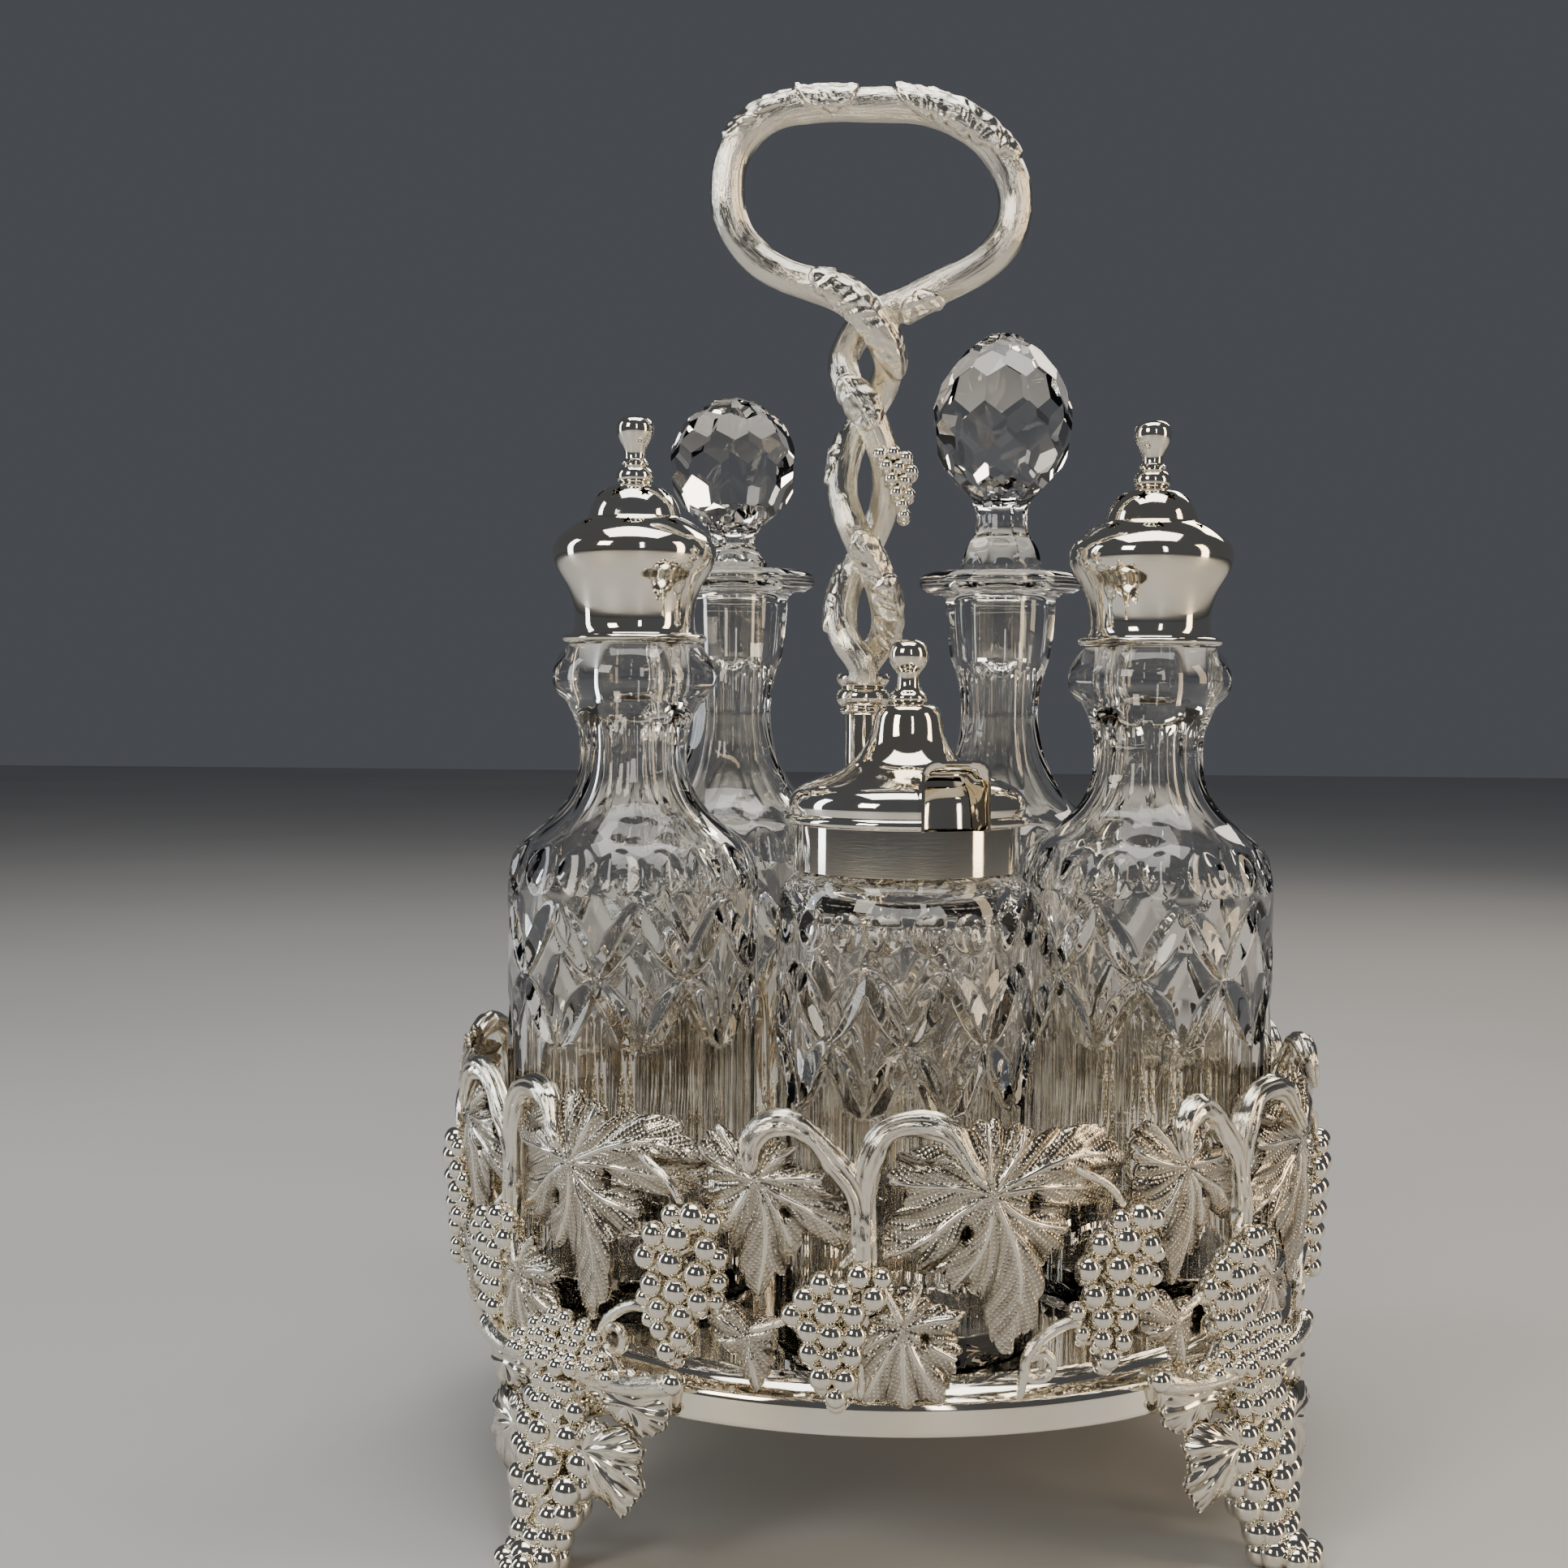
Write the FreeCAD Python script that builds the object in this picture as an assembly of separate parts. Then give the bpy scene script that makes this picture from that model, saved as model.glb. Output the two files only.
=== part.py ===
import FreeCAD, Part
import math
import os

# A five-bottle cruet set: a round footed tray with a vine gallery and a twisted
# branch handle, two casters, two stoppered cruets and a lidded mustard pot.
# Millimetres, +Z up. The origin is on the table under the middle of the tray,
# -Y is the front, where the mustard pot stands.

V = FreeCAD.Vector
UP = V(0, 0, 1)

# ---- driving dimensions ----
TRAY_R = 80.0            # outside of the tray's band
BAND_LOW = 28.0          # band's lower edge above the table
BAND_HIGH = 33.2
BAND_WALL = 1.4
FLOOR_Z = 36.0           # upper face of the tray
PLATE_T = 1.4
WELL_DEPTH = 1.5         # pressed recess under each bottle
WELL_GAP = 0.6
STAND_Z = FLOOR_Z - WELL_DEPTH

BODY_R = 23.3            # caster and cruet bodies
POT_R = 22.2             # mustard pot body
GLASS_BASE = 4.5         # thickness of each glass bottom

RIGHT_CASTER = (49.0, -12.2)
LEFT_CASTER = (-46.8, -18.9)
POT = (3.5, -50.4)
RIGHT_CRUET = (24.3, 42.8)
LEFT_CRUET = (-32.5, 38.7)

GALLERY_R = 79.6         # middle of the vine's branches
VINE_R = 1.5
PANELS = 7
FIRST_POST = -92.3       # degrees round from +X
LEAF_IN = 79.9
LEAF_OUT = 81.3

FEET = {"front_left": -130.5, "front_right": -40.5, "back_right": 49.5, "back_left": 139.5}
PLATE_HALF = 16.5        # degrees that a foot's plate covers each side
PLATE_TOP = 36.0
HEAP_HALF = 7.5          # degrees of the taller heap of fruit in its middle
HEAP_TOP = 40.5

HANDLE_X = -4.5          # stem's axis, a little left of the tray's middle
STRAND_R = 3.1
TWIST_X = 4.35           # half the spacing of the strands, across and in depth
TWIST_Y = 3.6
SOCKET_LOW = 141.3
SOCKET_HIGH = 149.1
TUBE_R = 3.4
ROD_R = 2.0
ROD_GAP = 0.05           # running clearance round the rod and the hinge pin

CAP_Z = 154.5            # where a caster's cap rests on its glass
CAP_WALL = 0.6
SPIGOT_R = 9.0           # glass neck inside the cap
FLANGE_Z = 171.0         # top of a cruet's lip
PLUG_GAP = 0.06          # ground stopper's clearance in its neck

COLLAR_LOW = 115.9       # mustard pot's silver band
LID_Z = 123.6            # parting line between band and lid
LID_R = 20.9
HINGE_AT = 115.0         # direction of the hinge from the pot's axis, degrees
HINGE_R = 22.9
HINGE_PIN_R = 0.7
BARREL_R = 1.5
BARREL_LEN = 3.4
NOTCH_AT = -70.0         # direction of the spoon notch
NOTCH_HALF = 4.5

os.makedirs("parts", exist_ok=True)


# ---- helpers ----
def export(shape, node):
    shape.exportStep("parts/" + node + ".step")


def lathe(outline):
    """Turned solid from (r, z) points; a list inside the outline is a smooth curve."""
    edges = []
    last = first = V(outline[0][0], 0, outline[0][1])
    for item in outline[1:]:
        if isinstance(item, list):
            points = [last] + [V(r, 0, z) for r, z in item]
            curve = Part.BSplineCurve()
            curve.interpolate(points)
            edges.append(curve.toShape())
            last = points[-1]
        else:
            point = V(item[0], 0, item[1])
            edges.append(Part.LineSegment(last, point).toShape())
            last = point
    if last.distanceToPoint(first) > 1e-6:
        edges.append(Part.LineSegment(last, first).toShape())
    face = Part.Face(Part.Wire(edges))
    return face.revolve(V(0, 0, 0), UP, 360)


def raised(outline, height):
    """The same outline moved up, curves included."""
    moved = []
    for item in outline:
        if isinstance(item, list):
            moved.append([(r, z + height) for r, z in item])
        else:
            moved.append((item[0], item[1] + height))
    return moved


def at(shape, place, z=0.0):
    copy = shape.copy()
    copy.translate(V(place[0], place[1], z))
    return copy


def turned(shape, degrees):
    copy = shape.copy()
    copy.rotate(V(0, 0, 0), UP, degrees)
    return copy


def rounded_path(points):
    """Straight runs joined by tangent arcs, as one wire."""
    edges = []
    start = points[0]
    for before, corner, after in zip(points, points[1:], points[2:]):
        back = (before - corner).normalize()
        ahead = (after - corner).normalize()
        reach = 0.45 * min((before - corner).Length, (after - corner).Length)
        enter = corner + back * reach
        leave = corner + ahead * reach
        half = back.getAngle(ahead) / 2
        middle = (back + ahead).normalize()
        centre = corner + middle * (reach / math.cos(half))
        radius = reach * math.tan(half)
        edges.append(Part.LineSegment(start, enter).toShape())
        edges.append(Part.Arc(enter, centre - middle * radius, leave).toShape())
        start = leave
    edges.append(Part.LineSegment(start, points[-1]).toShape())
    return Part.Wire(edges)


def tube(points, radius):
    path = rounded_path(points)
    section = Part.Wire([Part.makeCircle(radius, points[0], points[1] - points[0])])
    return path.makePipeShell([section], True, False)


def on_ring(angle, z, radius):
    """A point of the gallery, angle in degrees from its post."""
    turn = math.radians(angle)
    return V(radius * math.cos(turn), radius * math.sin(turn), z)


def shell_sector(inner, outer, low, high, start, end):
    ring = Part.makeCylinder(outer, high - low, V(0, 0, low), UP, end - start)
    ring = ring.cut(Part.makeCylinder(inner, high - low, V(0, 0, low), UP, end - start))
    return turned(ring, start)


# ---- tray ----
def base_plate():
    plate = lathe([(0, FLOOR_Z), (73.5, FLOOR_Z), [(76.4, 34.9), (78.7, BAND_HIGH)],
                   (78.7, BAND_HIGH - 1.2), [(75.6, 33.6), (73.0, FLOOR_Z - PLATE_T)],
                   (0, FLOOR_Z - PLATE_T)])
    for place, radius in wells():
        dish = Part.makeCylinder(radius + PLATE_T, PLATE_T + 0.2, V(place[0], place[1], STAND_Z - PLATE_T))
        plate = plate.fuse(dish)
    for place, radius in wells():
        plate = plate.cut(Part.makeCylinder(radius, PLATE_T + 5, V(place[0], place[1], STAND_Z)))
    hole = Part.makeCylinder(ROD_R + ROD_GAP, 20, V(HANDLE_X, 0, 25))
    return plate.cut(hole).removeSplitter()


def wells():
    places = [(place, BODY_R + WELL_GAP) for place in (RIGHT_CASTER, LEFT_CASTER, RIGHT_CRUET, LEFT_CRUET)]
    return places + [(POT, POT_R + WELL_GAP)]


def base_rim():
    inner = TRAY_R - BAND_WALL
    return lathe([(inner, BAND_LOW), (TRAY_R, BAND_LOW), (TRAY_R, BAND_HIGH - 0.8),
                  [(TRAY_R - 0.25, BAND_HIGH - 0.2), (TRAY_R - 0.8, BAND_HIGH)], (inner, BAND_HIGH)])


# ---- gallery: one panel per post, repeated round the tray ----
RIGHT_ARCH = [(0, 34.4), (0, 50), (0.1, 63), (0.5, 71), (2.4, 76.6), (6.2, 78.2), (9.8, 76.6), (11.6, 71.5)]
LEFT_ARCH = [(0, 60), (-0.9, 67), (-4.4, 73.6), (-8.4, 77.9), (-12.0, 76.2), (-13.0, 70.5)]

# Each leaf: the angle and height of its middle, then its outline round it in mm.
LEAVES = [
    (14.3, 67.3, [(1.3, 12.0), (8, 9), (20, 8.2), (24, 0.5), (18.5, -4.5), (13.5, -9.5), (9, -12),
                  (8.5, -16), (3.5, -27), (-1.8, -17), (-9, -15), (-13, -11.5), (-17.4, -11.5),
                  (-16.6, -4), (-17, 2.5), (-13.5, 7), (-6, 10)]),
    (-12.0, 68.8, [(-1, 9.5), (4.5, 8), (6.5, 2.5), (12.5, -1.5), (15.5, -8.5), (8, -8), (3.5, -16),
                   (0, -24), (-4.5, -13), (-10.5, -8.5), (-11, 1), (-8, 8)]),
    (4.5, 46.2, [(-3.2, 2.6), (0.2, 5.4), (2.4, 7.0), (6.2, 3.6), (10.0, 2.2), (9.4, -3.6), (6.6, -12.6),
                 (-6.3, -12.6), (-8.6, -7.8), (-7.6, -1.2)]),
    (-13.0, 43.4, [(-4.5, 5.5), (-1, 3.5), (4.6, 4.0), (5.0, -2), (3.2, -7.2), (-1.5, -4.5), (-4, -1)]),
]

# Each bunch of grapes: angle, top, bottom and half its width.
BUNCHES = [(30.0, 64.5, 37.8, 7.6), (-3.2, 56.2, 33.6, 7.8)]


def vine():
    right = tube([on_ring(a, z, GALLERY_R) for a, z in RIGHT_ARCH], VINE_R)
    left = tube([on_ring(a, z, GALLERY_R) for a, z in LEFT_ARCH], VINE_R - 0.1)
    return right.fuse(left)


def leaf(angle, height, outline):
    flat = [V(70, x, height + z) for x, z in outline]
    sheet = Part.Face(Part.makePolygon(flat + [flat[0]])).extrude(V(20, 0, 0))
    spread = 25
    shell = shell_sector(LEAF_IN, LEAF_OUT, height - 30, height + 15, -spread, spread)
    return turned(shell.common(sheet), angle)


def bunch(angle, top, bottom, half_width):
    sections = []
    for share, width in ((0.0, 0.45), (0.14, 0.95), (0.34, 1.0), (0.6, 0.72), (0.85, 0.42), (1.0, 0.18)):
        z = top + (bottom - top) * share
        major = half_width * width
        minor = 3.0 * (0.45 + 0.55 * width)
        ring = Part.Ellipse(V(0, 0, 0), max(major, minor), min(major, minor)).toShape()
        if major >= minor:
            ring.rotate(V(0, 0, 0), UP, 90)
        ring.translate(V(GALLERY_R + 1.6, 0, z))
        sections.append(Part.Wire([ring]))
    return turned(Part.makeLoft(sections, True, True), angle)


def tendril():
    stalk = tube([on_ring(a, z, GALLERY_R + 0.6) for a, z in
                  [(25.4, 45.2), (22.0, 44.2), (19.4, 41.4), (18.2, 37.6), (18.0, 34.6)]], 0.7)
    curl = Part.makeTorus(2.0, 0.65, V(GALLERY_R + 0.6, 0, 39.6), V(1, 0, 0))
    return stalk.fuse(turned(curl, 20.4))


def around(shapes):
    """The shapes of one panel repeated at every post, as separate solids."""
    pitch = 360.0 / PANELS
    return Part.makeCompound([turned(shape, FIRST_POST + pitch * k)
                              for k in range(PANELS) for shape in shapes])


# ---- feet ----
def foot():
    """One cast foot, pointing along +X: a plate on the band, a leg and a toe."""
    plate = shell_sector(TRAY_R + 0.03, TRAY_R + 2.4, BAND_LOW + 0.4, PLATE_TOP, -PLATE_HALF, PLATE_HALF)
    plate = plate.fuse(shell_sector(TRAY_R + 0.03, TRAY_R + 3.2, BAND_LOW + 2, HEAP_TOP, -HEAP_HALF, HEAP_HALF))
    leg = Part.makeLoft([oval(82.5, 2.2, 13.5, 31.0), oval(83.4, 3.6, 11.5, 22.0), oval(84.6, 4.4, 7.2, 13.5),
                         oval(86.0, 4.6, 5.6, 5.0), oval(86.2, 4.4, 5.1, 0.0)], True)
    toe = Part.makeSphere(4.2)
    toe.translate(V(88.0, 0, 2.2))
    below = Part.makeBox(40, 40, 10, V(65, -20, -10))
    return plate.fuse([leg, toe]).cut(below)


def oval(radius, depth, half_width, z):
    ring = Part.Ellipse(V(0, 0, 0), half_width, depth).toShape()
    ring.rotate(V(0, 0, 0), UP, 90)
    ring.translate(V(radius, 0, z))
    return Part.Wire([ring])


# ---- handle ----
# Heights of the strands' half turns, from the socket to the crossing under the loop.
TURNS = [(-0.5, 150.0), (0.0, 160.0), (0.5, 172.7), (1.0, 186.0), (1.5, 199.4), (2.0, 208.5), (2.5, 217.2)]
LOOP = [(-10.2, -2.9, 221.6), (-17.6, -1.4, 224.4), (-25.3, 0, 228.6), (-30.2, 0, 235.0), (-31.3, 0, 242.0),
        (-29.8, 0, 249.2), (-24.8, 0, 254.8), (-17.0, 0, 257.3), (-5.5, 0, 257.7), (6.2, 0, 257.0),
        (15.3, 0, 253.2), (21.5, 0, 246.6), (23.8, 0, 239.6), (22.2, 0, 232.4), (16.8, 0, 226.8),
        (8.6, 1.2, 223.0), (1.2, 2.8, 219.8)]


def twist_point(half_turns, side):
    """Centre of a strand; side is 1 for the strand that crosses in front at the top."""
    level = half_turns
    for (t0, z0), (t1, z1) in zip(TURNS, TURNS[1:]):
        if t0 <= level <= t1:
            z = z0 + (z1 - z0) * (level - t0) / (t1 - t0)
    turn = math.pi * level
    return V(HANDLE_X + side * TWIST_X * math.cos(turn), -side * TWIST_Y * math.sin(turn), z)


def handle():
    steps = [-0.5 + 0.25 * k for k in range(13)]
    rising = [twist_point(t, 1) for t in steps]
    falling = [twist_point(t, -1) for t in reversed(steps)]
    ends = [V(HANDLE_X, 3.3, SOCKET_HIGH - 1.5), V(HANDLE_X, -3.3, SOCKET_HIGH - 1.5)]
    points = [ends[0]] + rising + [V(*p) for p in LOOP] + falling + [ends[1]]
    return tube(points, STRAND_R)


def handle_socket():
    bore = ROD_R + ROD_GAP
    low, high = SOCKET_LOW, SOCKET_HIGH
    turned_knop = lathe([(bore, low), (4.0, low), [(4.5, low + 0.7), (4.0, low + 1.4)],
                         [(4.9, low + 2.2), (5.2, low + 3.3), (4.9, low + 4.4), (4.1, low + 5.2)],
                         [(4.8, low + 6.0), (5.2, low + 7.0)], (5.2, high), (0, high), (0, high - 2),
                         (bore, high - 2)])
    return at(turned_knop, (HANDLE_X, 0))


def stem_tube():
    bore = ROD_R + ROD_GAP
    stem = lathe([(bore, FLOOR_Z), (8.0, FLOOR_Z), (8.0, FLOOR_Z + 1.2),
                  [(5.6, FLOOR_Z + 2.2), (4.1, FLOOR_Z + 4.6), (TUBE_R, FLOOR_Z + 8)],
                  (TUBE_R, SOCKET_LOW), (bore, SOCKET_LOW)])
    return at(stem, (HANDLE_X, 0))


def under_hardware():
    """Rod through the stem, with the washer and nut that clamp it under the tray."""
    washer_low = FLOOR_Z - PLATE_T - 0.8
    rod = Part.makeCylinder(ROD_R, SOCKET_HIGH - 2.2 - 29.2, V(HANDLE_X, 0, 29.2))
    washer = Part.makeCylinder(7.0, 0.8, V(HANDLE_X, 0, washer_low))
    washer = washer.cut(Part.makeCylinder(ROD_R + 0.1, 2, V(HANDLE_X, 0, washer_low - 0.5)))
    corners = [V(HANDLE_X + 4.2 * math.cos(k * math.pi / 3), 4.2 * math.sin(k * math.pi / 3), washer_low - 2.6)
               for k in range(7)]
    nut = Part.Face(Part.makePolygon(corners)).extrude(V(0, 0, 2.6))
    nut = nut.cut(Part.makeCylinder(ROD_R + ROD_GAP, 6, V(HANDLE_X, 0, washer_low - 4)))
    return rod, washer, nut


# ---- glass ----
BODY_OUTLINE = [(0, 0), (BODY_R - 1.0, 0), (BODY_R, 1.0), (BODY_R, 77.0)]
BODY_INSIDE = [(20.5, 76.0), (20.5, GLASS_BASE + 2), (18.5, GLASS_BASE), (0, GLASS_BASE)]


def caster_glass():
    neck = CAP_Z - 0.1 - STAND_Z
    return lathe(raised(BODY_OUTLINE + [
        [(22.1, 81.5), (18.5, 85.0), (13.5, 89.6), (11.0, 94.0), (10.2, 98.6), (10.9, 105.5), (12.7, 109.4)],
        [(14.6, 111.4), (15.1, 113.9), (14.4, 116.6), (12.2, neck - 0.2)],
        (SPIGOT_R + 0.3, neck), (SPIGOT_R, neck + 0.3), (SPIGOT_R, neck + 7.0), (7.0, neck + 7.0),
        (7.0, 101.0), [(7.6, 96.0), (9.6, 90.4), (14.0, 84.6), (18.6, 80.4), (20.5, 76.0)],
    ] + BODY_INSIDE[1:], STAND_Z))


def cruet_glass():
    lip = FLANGE_Z - STAND_Z
    return lathe(raised(BODY_OUTLINE + [
        [(22.1, 81.5), (18.6, 85.0), (14.6, 89.2), (11.2, 95.2), (9.2, 101.5), (8.6, 107.0), (9.3, 112.5),
         (10.4, 118.0), (11.3, 124.5), (11.6, lip - 6.2)],
        [(12.6, lip - 5.0), (15.2, lip - 4.6), (17.1, lip - 3.2), (17.1, lip - 1.4), (15.4, lip - 0.2),
         (14.2, lip)],
        (8.4, lip), (6.6, lip - 1.4), (6.15, lip - 19.0), (6.1, 104.0),
        [(6.7, 99.6), (8.4, 94.6), (12.0, 88.2), (17.6, 81.6), (20.5, 76.0)],
    ] + BODY_INSIDE[1:], STAND_Z))


def stopper(head):
    """Ground plug with the given (r, z) head above the lip."""
    top = FLANGE_Z
    plug = [(0, top - 18.6), (6.1 - PLUG_GAP - 0.5, top - 18.6), (6.15 - PLUG_GAP, top - 18.0),
            (6.6 - PLUG_GAP, top - 1.4), (6.6 - PLUG_GAP, top + 0.3)]
    return lathe(plug + head)


RIGHT_HEAD = [(8.4, 171.3), [(8.7, 173.0), (8.0, 176.0), (6.2, 178.8), (5.7, 182.0), (6.0, 184.8),
                             (8.0, 187.2)],
              [(12.0, 191.0), (14.4, 196.4), (14.9, 203.0), (13.4, 210.0), (9.6, 216.4), (4.0, 220.4),
               (0, 221.0)]]
LEFT_HEAD = [(7.0, 171.3), [(7.2, 172.6), (6.0, 174.6), (4.8, 176.6), (5.2, 178.6), (7.6, 180.6)],
             [(11.2, 184.4), (13.1, 190.0), (12.9, 196.4), (10.3, 202.4), (5.4, 206.2), (0, 207.2)]]


# ---- caster caps ----
CAP_OUTSIDE = [(10.05, 0), (12.4, 0), [(13.3, 0.7), (12.6, 1.5)], (11.4, 1.7),
               [(10.7, 3.6), (10.7, 7.6), (11.7, 10.9), (13.3, 14.2), (14.6, 17.2), (14.6, 19.4),
                (12.4, 21.6), (9.2, 23.5)],
               (8.2, 24.1), [(7.8, 25.6), (6.6, 27.6), (4.4, 29.7)], (3.0, 30.0), (0, 30.0)]
CAP_INSIDE = [(0, 29.3), (3.4, 29.3), [(5.9, 27.3), (7.1, 25.4), (7.5, 23.7)], (8.8, 22.9),
              [(11.9, 21.1), (13.9, 19.2), (13.9, 17.4), (12.7, 14.5), (11.1, 11.2), (10.05, 8.4)]]


def star(radius, thickness):
    """Five-pointed punch, standing along +X."""
    points = []
    for k in range(11):
        reach = radius if k % 2 == 0 else radius * 0.45
        turn = math.pi / 2 + k * math.pi / 5
        points.append(V(0, reach * math.cos(turn), reach * math.sin(turn)))
    return Part.Face(Part.makePolygon(points)).extrude(V(thickness, 0, 0))


def caster_cap():
    """Pierced cap: two rings of eight stars through the shell."""
    shell = lathe(raised(CAP_OUTSIDE + CAP_INSIDE, CAP_Z))
    punches = []
    for radius, height, tilt, first in ((9.9, 21.2, -60, 0), (4.6, 27.3, -55, 22.5)):
        for k in range(8):
            punch = star(1.35, 5.0)
            punch.rotate(V(0, 0, 0), V(0, 1, 0), tilt)
            punch.translate(V(radius, 0, CAP_Z + height))
            punches.append(turned(punch, first + 45 * k))
    return shell.cut(punches)


def cap_lining():
    """Cork sleeve inside the cap that grips the glass neck."""
    return lathe([(SPIGOT_R + 0.05, CAP_Z + 0.2), (10.04, CAP_Z + 0.2), (10.04, CAP_Z + 6.8),
                  (SPIGOT_R + 0.05, CAP_Z + 6.8)])


def cap_finial():
    z = CAP_Z + 30.0
    return lathe([(0, z), (3.0, z), [(3.6, z + 1.2), (2.9, z + 2.6)], [(2.6, z + 3.3), (2.1, z + 4.0)],
                  [(2.0, z + 5.0), (2.3, z + 6.6)],
                  [(3.3, z + 8.3), (3.5, z + 9.8), (2.8, z + 11.4), (1.2, z + 11.9), (0, z + 12.0)]])


# ---- mustard pot ----
def mustard_glass():
    lip = LID_Z - 0.7 - STAND_Z
    return lathe(raised([
        (0, 0), (POT_R - 1.0, 0), (POT_R, 1.0), (POT_R, 73.0),
        [(21.7, 76.4), (20.2, 79.6), (18.0, 81.2)], (18.0, lip), (15.6, lip), (15.6, 80.0),
        [(16.6, 77.6), (18.8, 74.4), (19.6, 71.0)], (19.6, GLASS_BASE + 2), (17.6, GLASS_BASE),
        (0, GLASS_BASE)], STAND_Z))


def hinge_frame(shape):
    """Takes a shape made about a hinge axis along Y to the pot's hinge."""
    shape = at(shape, (HINGE_R, 0), LID_Z)
    return at(turned(shape, HINGE_AT), POT)


def barrel(start, length, bore):
    solid = Part.makeCylinder(BARREL_R, length, V(0, start, 0), V(0, 1, 0))
    return solid.cut(Part.makeCylinder(bore, length, V(0, start, 0), V(0, 1, 0)))


def mustard_collar():
    """Silver band on the glass lip, with the hinge's two outer barrels."""
    wall = 19.2
    band = lathe([(18.06, COLLAR_LOW), (wall, COLLAR_LOW), (wall, LID_Z - 0.1), (15.8, LID_Z - 0.1),
                  (15.8, LID_Z - 0.65), (18.06, LID_Z - 0.65)])
    gap = 0.15
    pieces = []
    for start in (-1.5 * BARREL_LEN - gap, 0.5 * BARREL_LEN + gap):
        bracket = Part.makeBox(HINGE_R - wall + 0.7, BARREL_LEN, 2.6, V(wall - 0.4 - HINGE_R, start, -3.0))
        bracket = bracket.fuse(Part.makeBox(1.2, BARREL_LEN, 3.0, V(-0.6, start, -3.0)))
        bracket = bracket.cut(Part.makeCylinder(HINGE_PIN_R + ROD_GAP, BARREL_LEN, V(0, start, 0), V(0, 1, 0)))
        pieces.append(hinge_frame(barrel(start, BARREL_LEN, HINGE_PIN_R + ROD_GAP).fuse(bracket)))
    return at(band, POT).fuse(pieces)


def lid_shell():
    z = LID_Z
    return lathe([
        (18.4, z), (20.2, z), [(LID_R, z + 0.8), (20.3, z + 1.7)], (19.9, z + 2.2),
        [(20.1, z + 3.6), (19.2, z + 5.6), (16.6, z + 7.1), (13.0, z + 8.6), (9.6, z + 10.4),
         (7.4, z + 13.0), (6.1, z + 16.2), (5.4, z + 19.0)],
        (4.4, z + 20.0), (0, z + 20.2), (0, z + 19.4), (4.0, z + 19.2),
        [(4.7, z + 18.6), (5.4, z + 15.9), (6.7, z + 12.6), (9.0, z + 9.8), (12.5, z + 7.9),
         (16.1, z + 6.3), (18.4, z + 4.9), (19.0, z + 3.4)], (18.4, z + 1.5)])


def radial_block(inner, outer, half_width, low, high, corner):
    """Round-topped block along +X."""
    profile = [V(inner, -half_width, low), V(inner, half_width, low), V(inner, half_width, high - corner),
               V(inner, half_width - corner, high), V(inner, -half_width + corner, high),
               V(inner, -half_width, high - corner)]
    return Part.Face(Part.makePolygon(profile + [profile[0]])).extrude(V(outer - inner, 0, 0))


def mustard_lid():
    """Bell lid with a hooded spoon notch and the hinge's middle barrel."""
    hood = radial_block(14.0, 21.6, NOTCH_HALF + 0.7, LID_Z + 2.2, LID_Z + 9.0, 2.4)
    slot = radial_block(13.0, 26.0, NOTCH_HALF, LID_Z - 1, LID_Z + 8.3, 2.0)
    shell = lid_shell().fuse(turned(hood, NOTCH_AT))
    shell = shell.cut(turned(slot, NOTCH_AT))
    lug = Part.makeBox(3.4, BARREL_LEN, 1.5, V(-3.0, -BARREL_LEN / 2, 0.2))
    lug = lug.cut(Part.makeCylinder(HINGE_PIN_R + ROD_GAP, BARREL_LEN, V(0, -BARREL_LEN / 2, 0), V(0, 1, 0)))
    middle = barrel(-BARREL_LEN / 2, BARREL_LEN, HINGE_PIN_R + ROD_GAP).fuse(lug)
    return at(shell, POT).fuse(hinge_frame(middle))


def lid_finial():
    z = LID_Z + 20.2
    return at(lathe([(0, z), (2.8, z), [(3.3, z + 1.1), (2.4, z + 2.3)], [(1.9, z + 3.6), (2.0, z + 5.4)],
                     [(3.1, z + 7.0), (3.4, z + 8.6), (2.6, z + 10.4), (1.0, z + 11.0), (0, z + 11.1)]]), POT)


def hinge_pin():
    length = 3 * BARREL_LEN + 0.3
    return hinge_frame(Part.makeCylinder(HINGE_PIN_R, length, V(0, -length / 2, 0), V(0, 1, 0)))


# ---- the nodes ----
export(base_plate(), "base_plate")
export(base_rim(), "base_rim")
export(around([vine()]), "gallery_vine")
export(around([leaf(*entry) for entry in LEAVES]), "gallery_leaves")
export(around([bunch(*entry) for entry in BUNCHES]), "gallery_grapes")
export(around([tendril()]), "gallery_tendrils")
for name, degrees in FEET.items():
    export(turned(foot(), degrees), "foot_" + name)

export(handle(), "handle")
export(handle_socket(), "handle_socket")
export(stem_tube(), "stem_tube")
for shape, node in zip(under_hardware(), ("handle_rod", "base_washer", "base_nut")):
    export(shape, node)

for side, place in (("left_caster", LEFT_CASTER), ("right_caster", RIGHT_CASTER)):
    export(at(caster_glass(), place), side + "_glass")
    export(at(cap_lining(), place), side + "_cork")
    export(at(caster_cap(), place), side + "_cap")
    export(at(cap_finial(), place), side + "_finial")

for side, place, head in (("left", LEFT_CRUET, LEFT_HEAD), ("right", RIGHT_CRUET, RIGHT_HEAD)):
    export(at(cruet_glass(), place), side + "_cruet_glass")
    export(at(stopper(head), place), side + "_stopper")

export(at(mustard_glass(), POT), "mustard_glass")
export(mustard_collar(), "mustard_collar")
export(mustard_lid(), "mustard_lid")
export(lid_finial(), "mustard_lid_finial")
export(hinge_pin(), "mustard_hinge_pin")
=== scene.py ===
import math

import bmesh
import bpy
import numpy as np
from mathutils import Matrix, Vector


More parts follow.
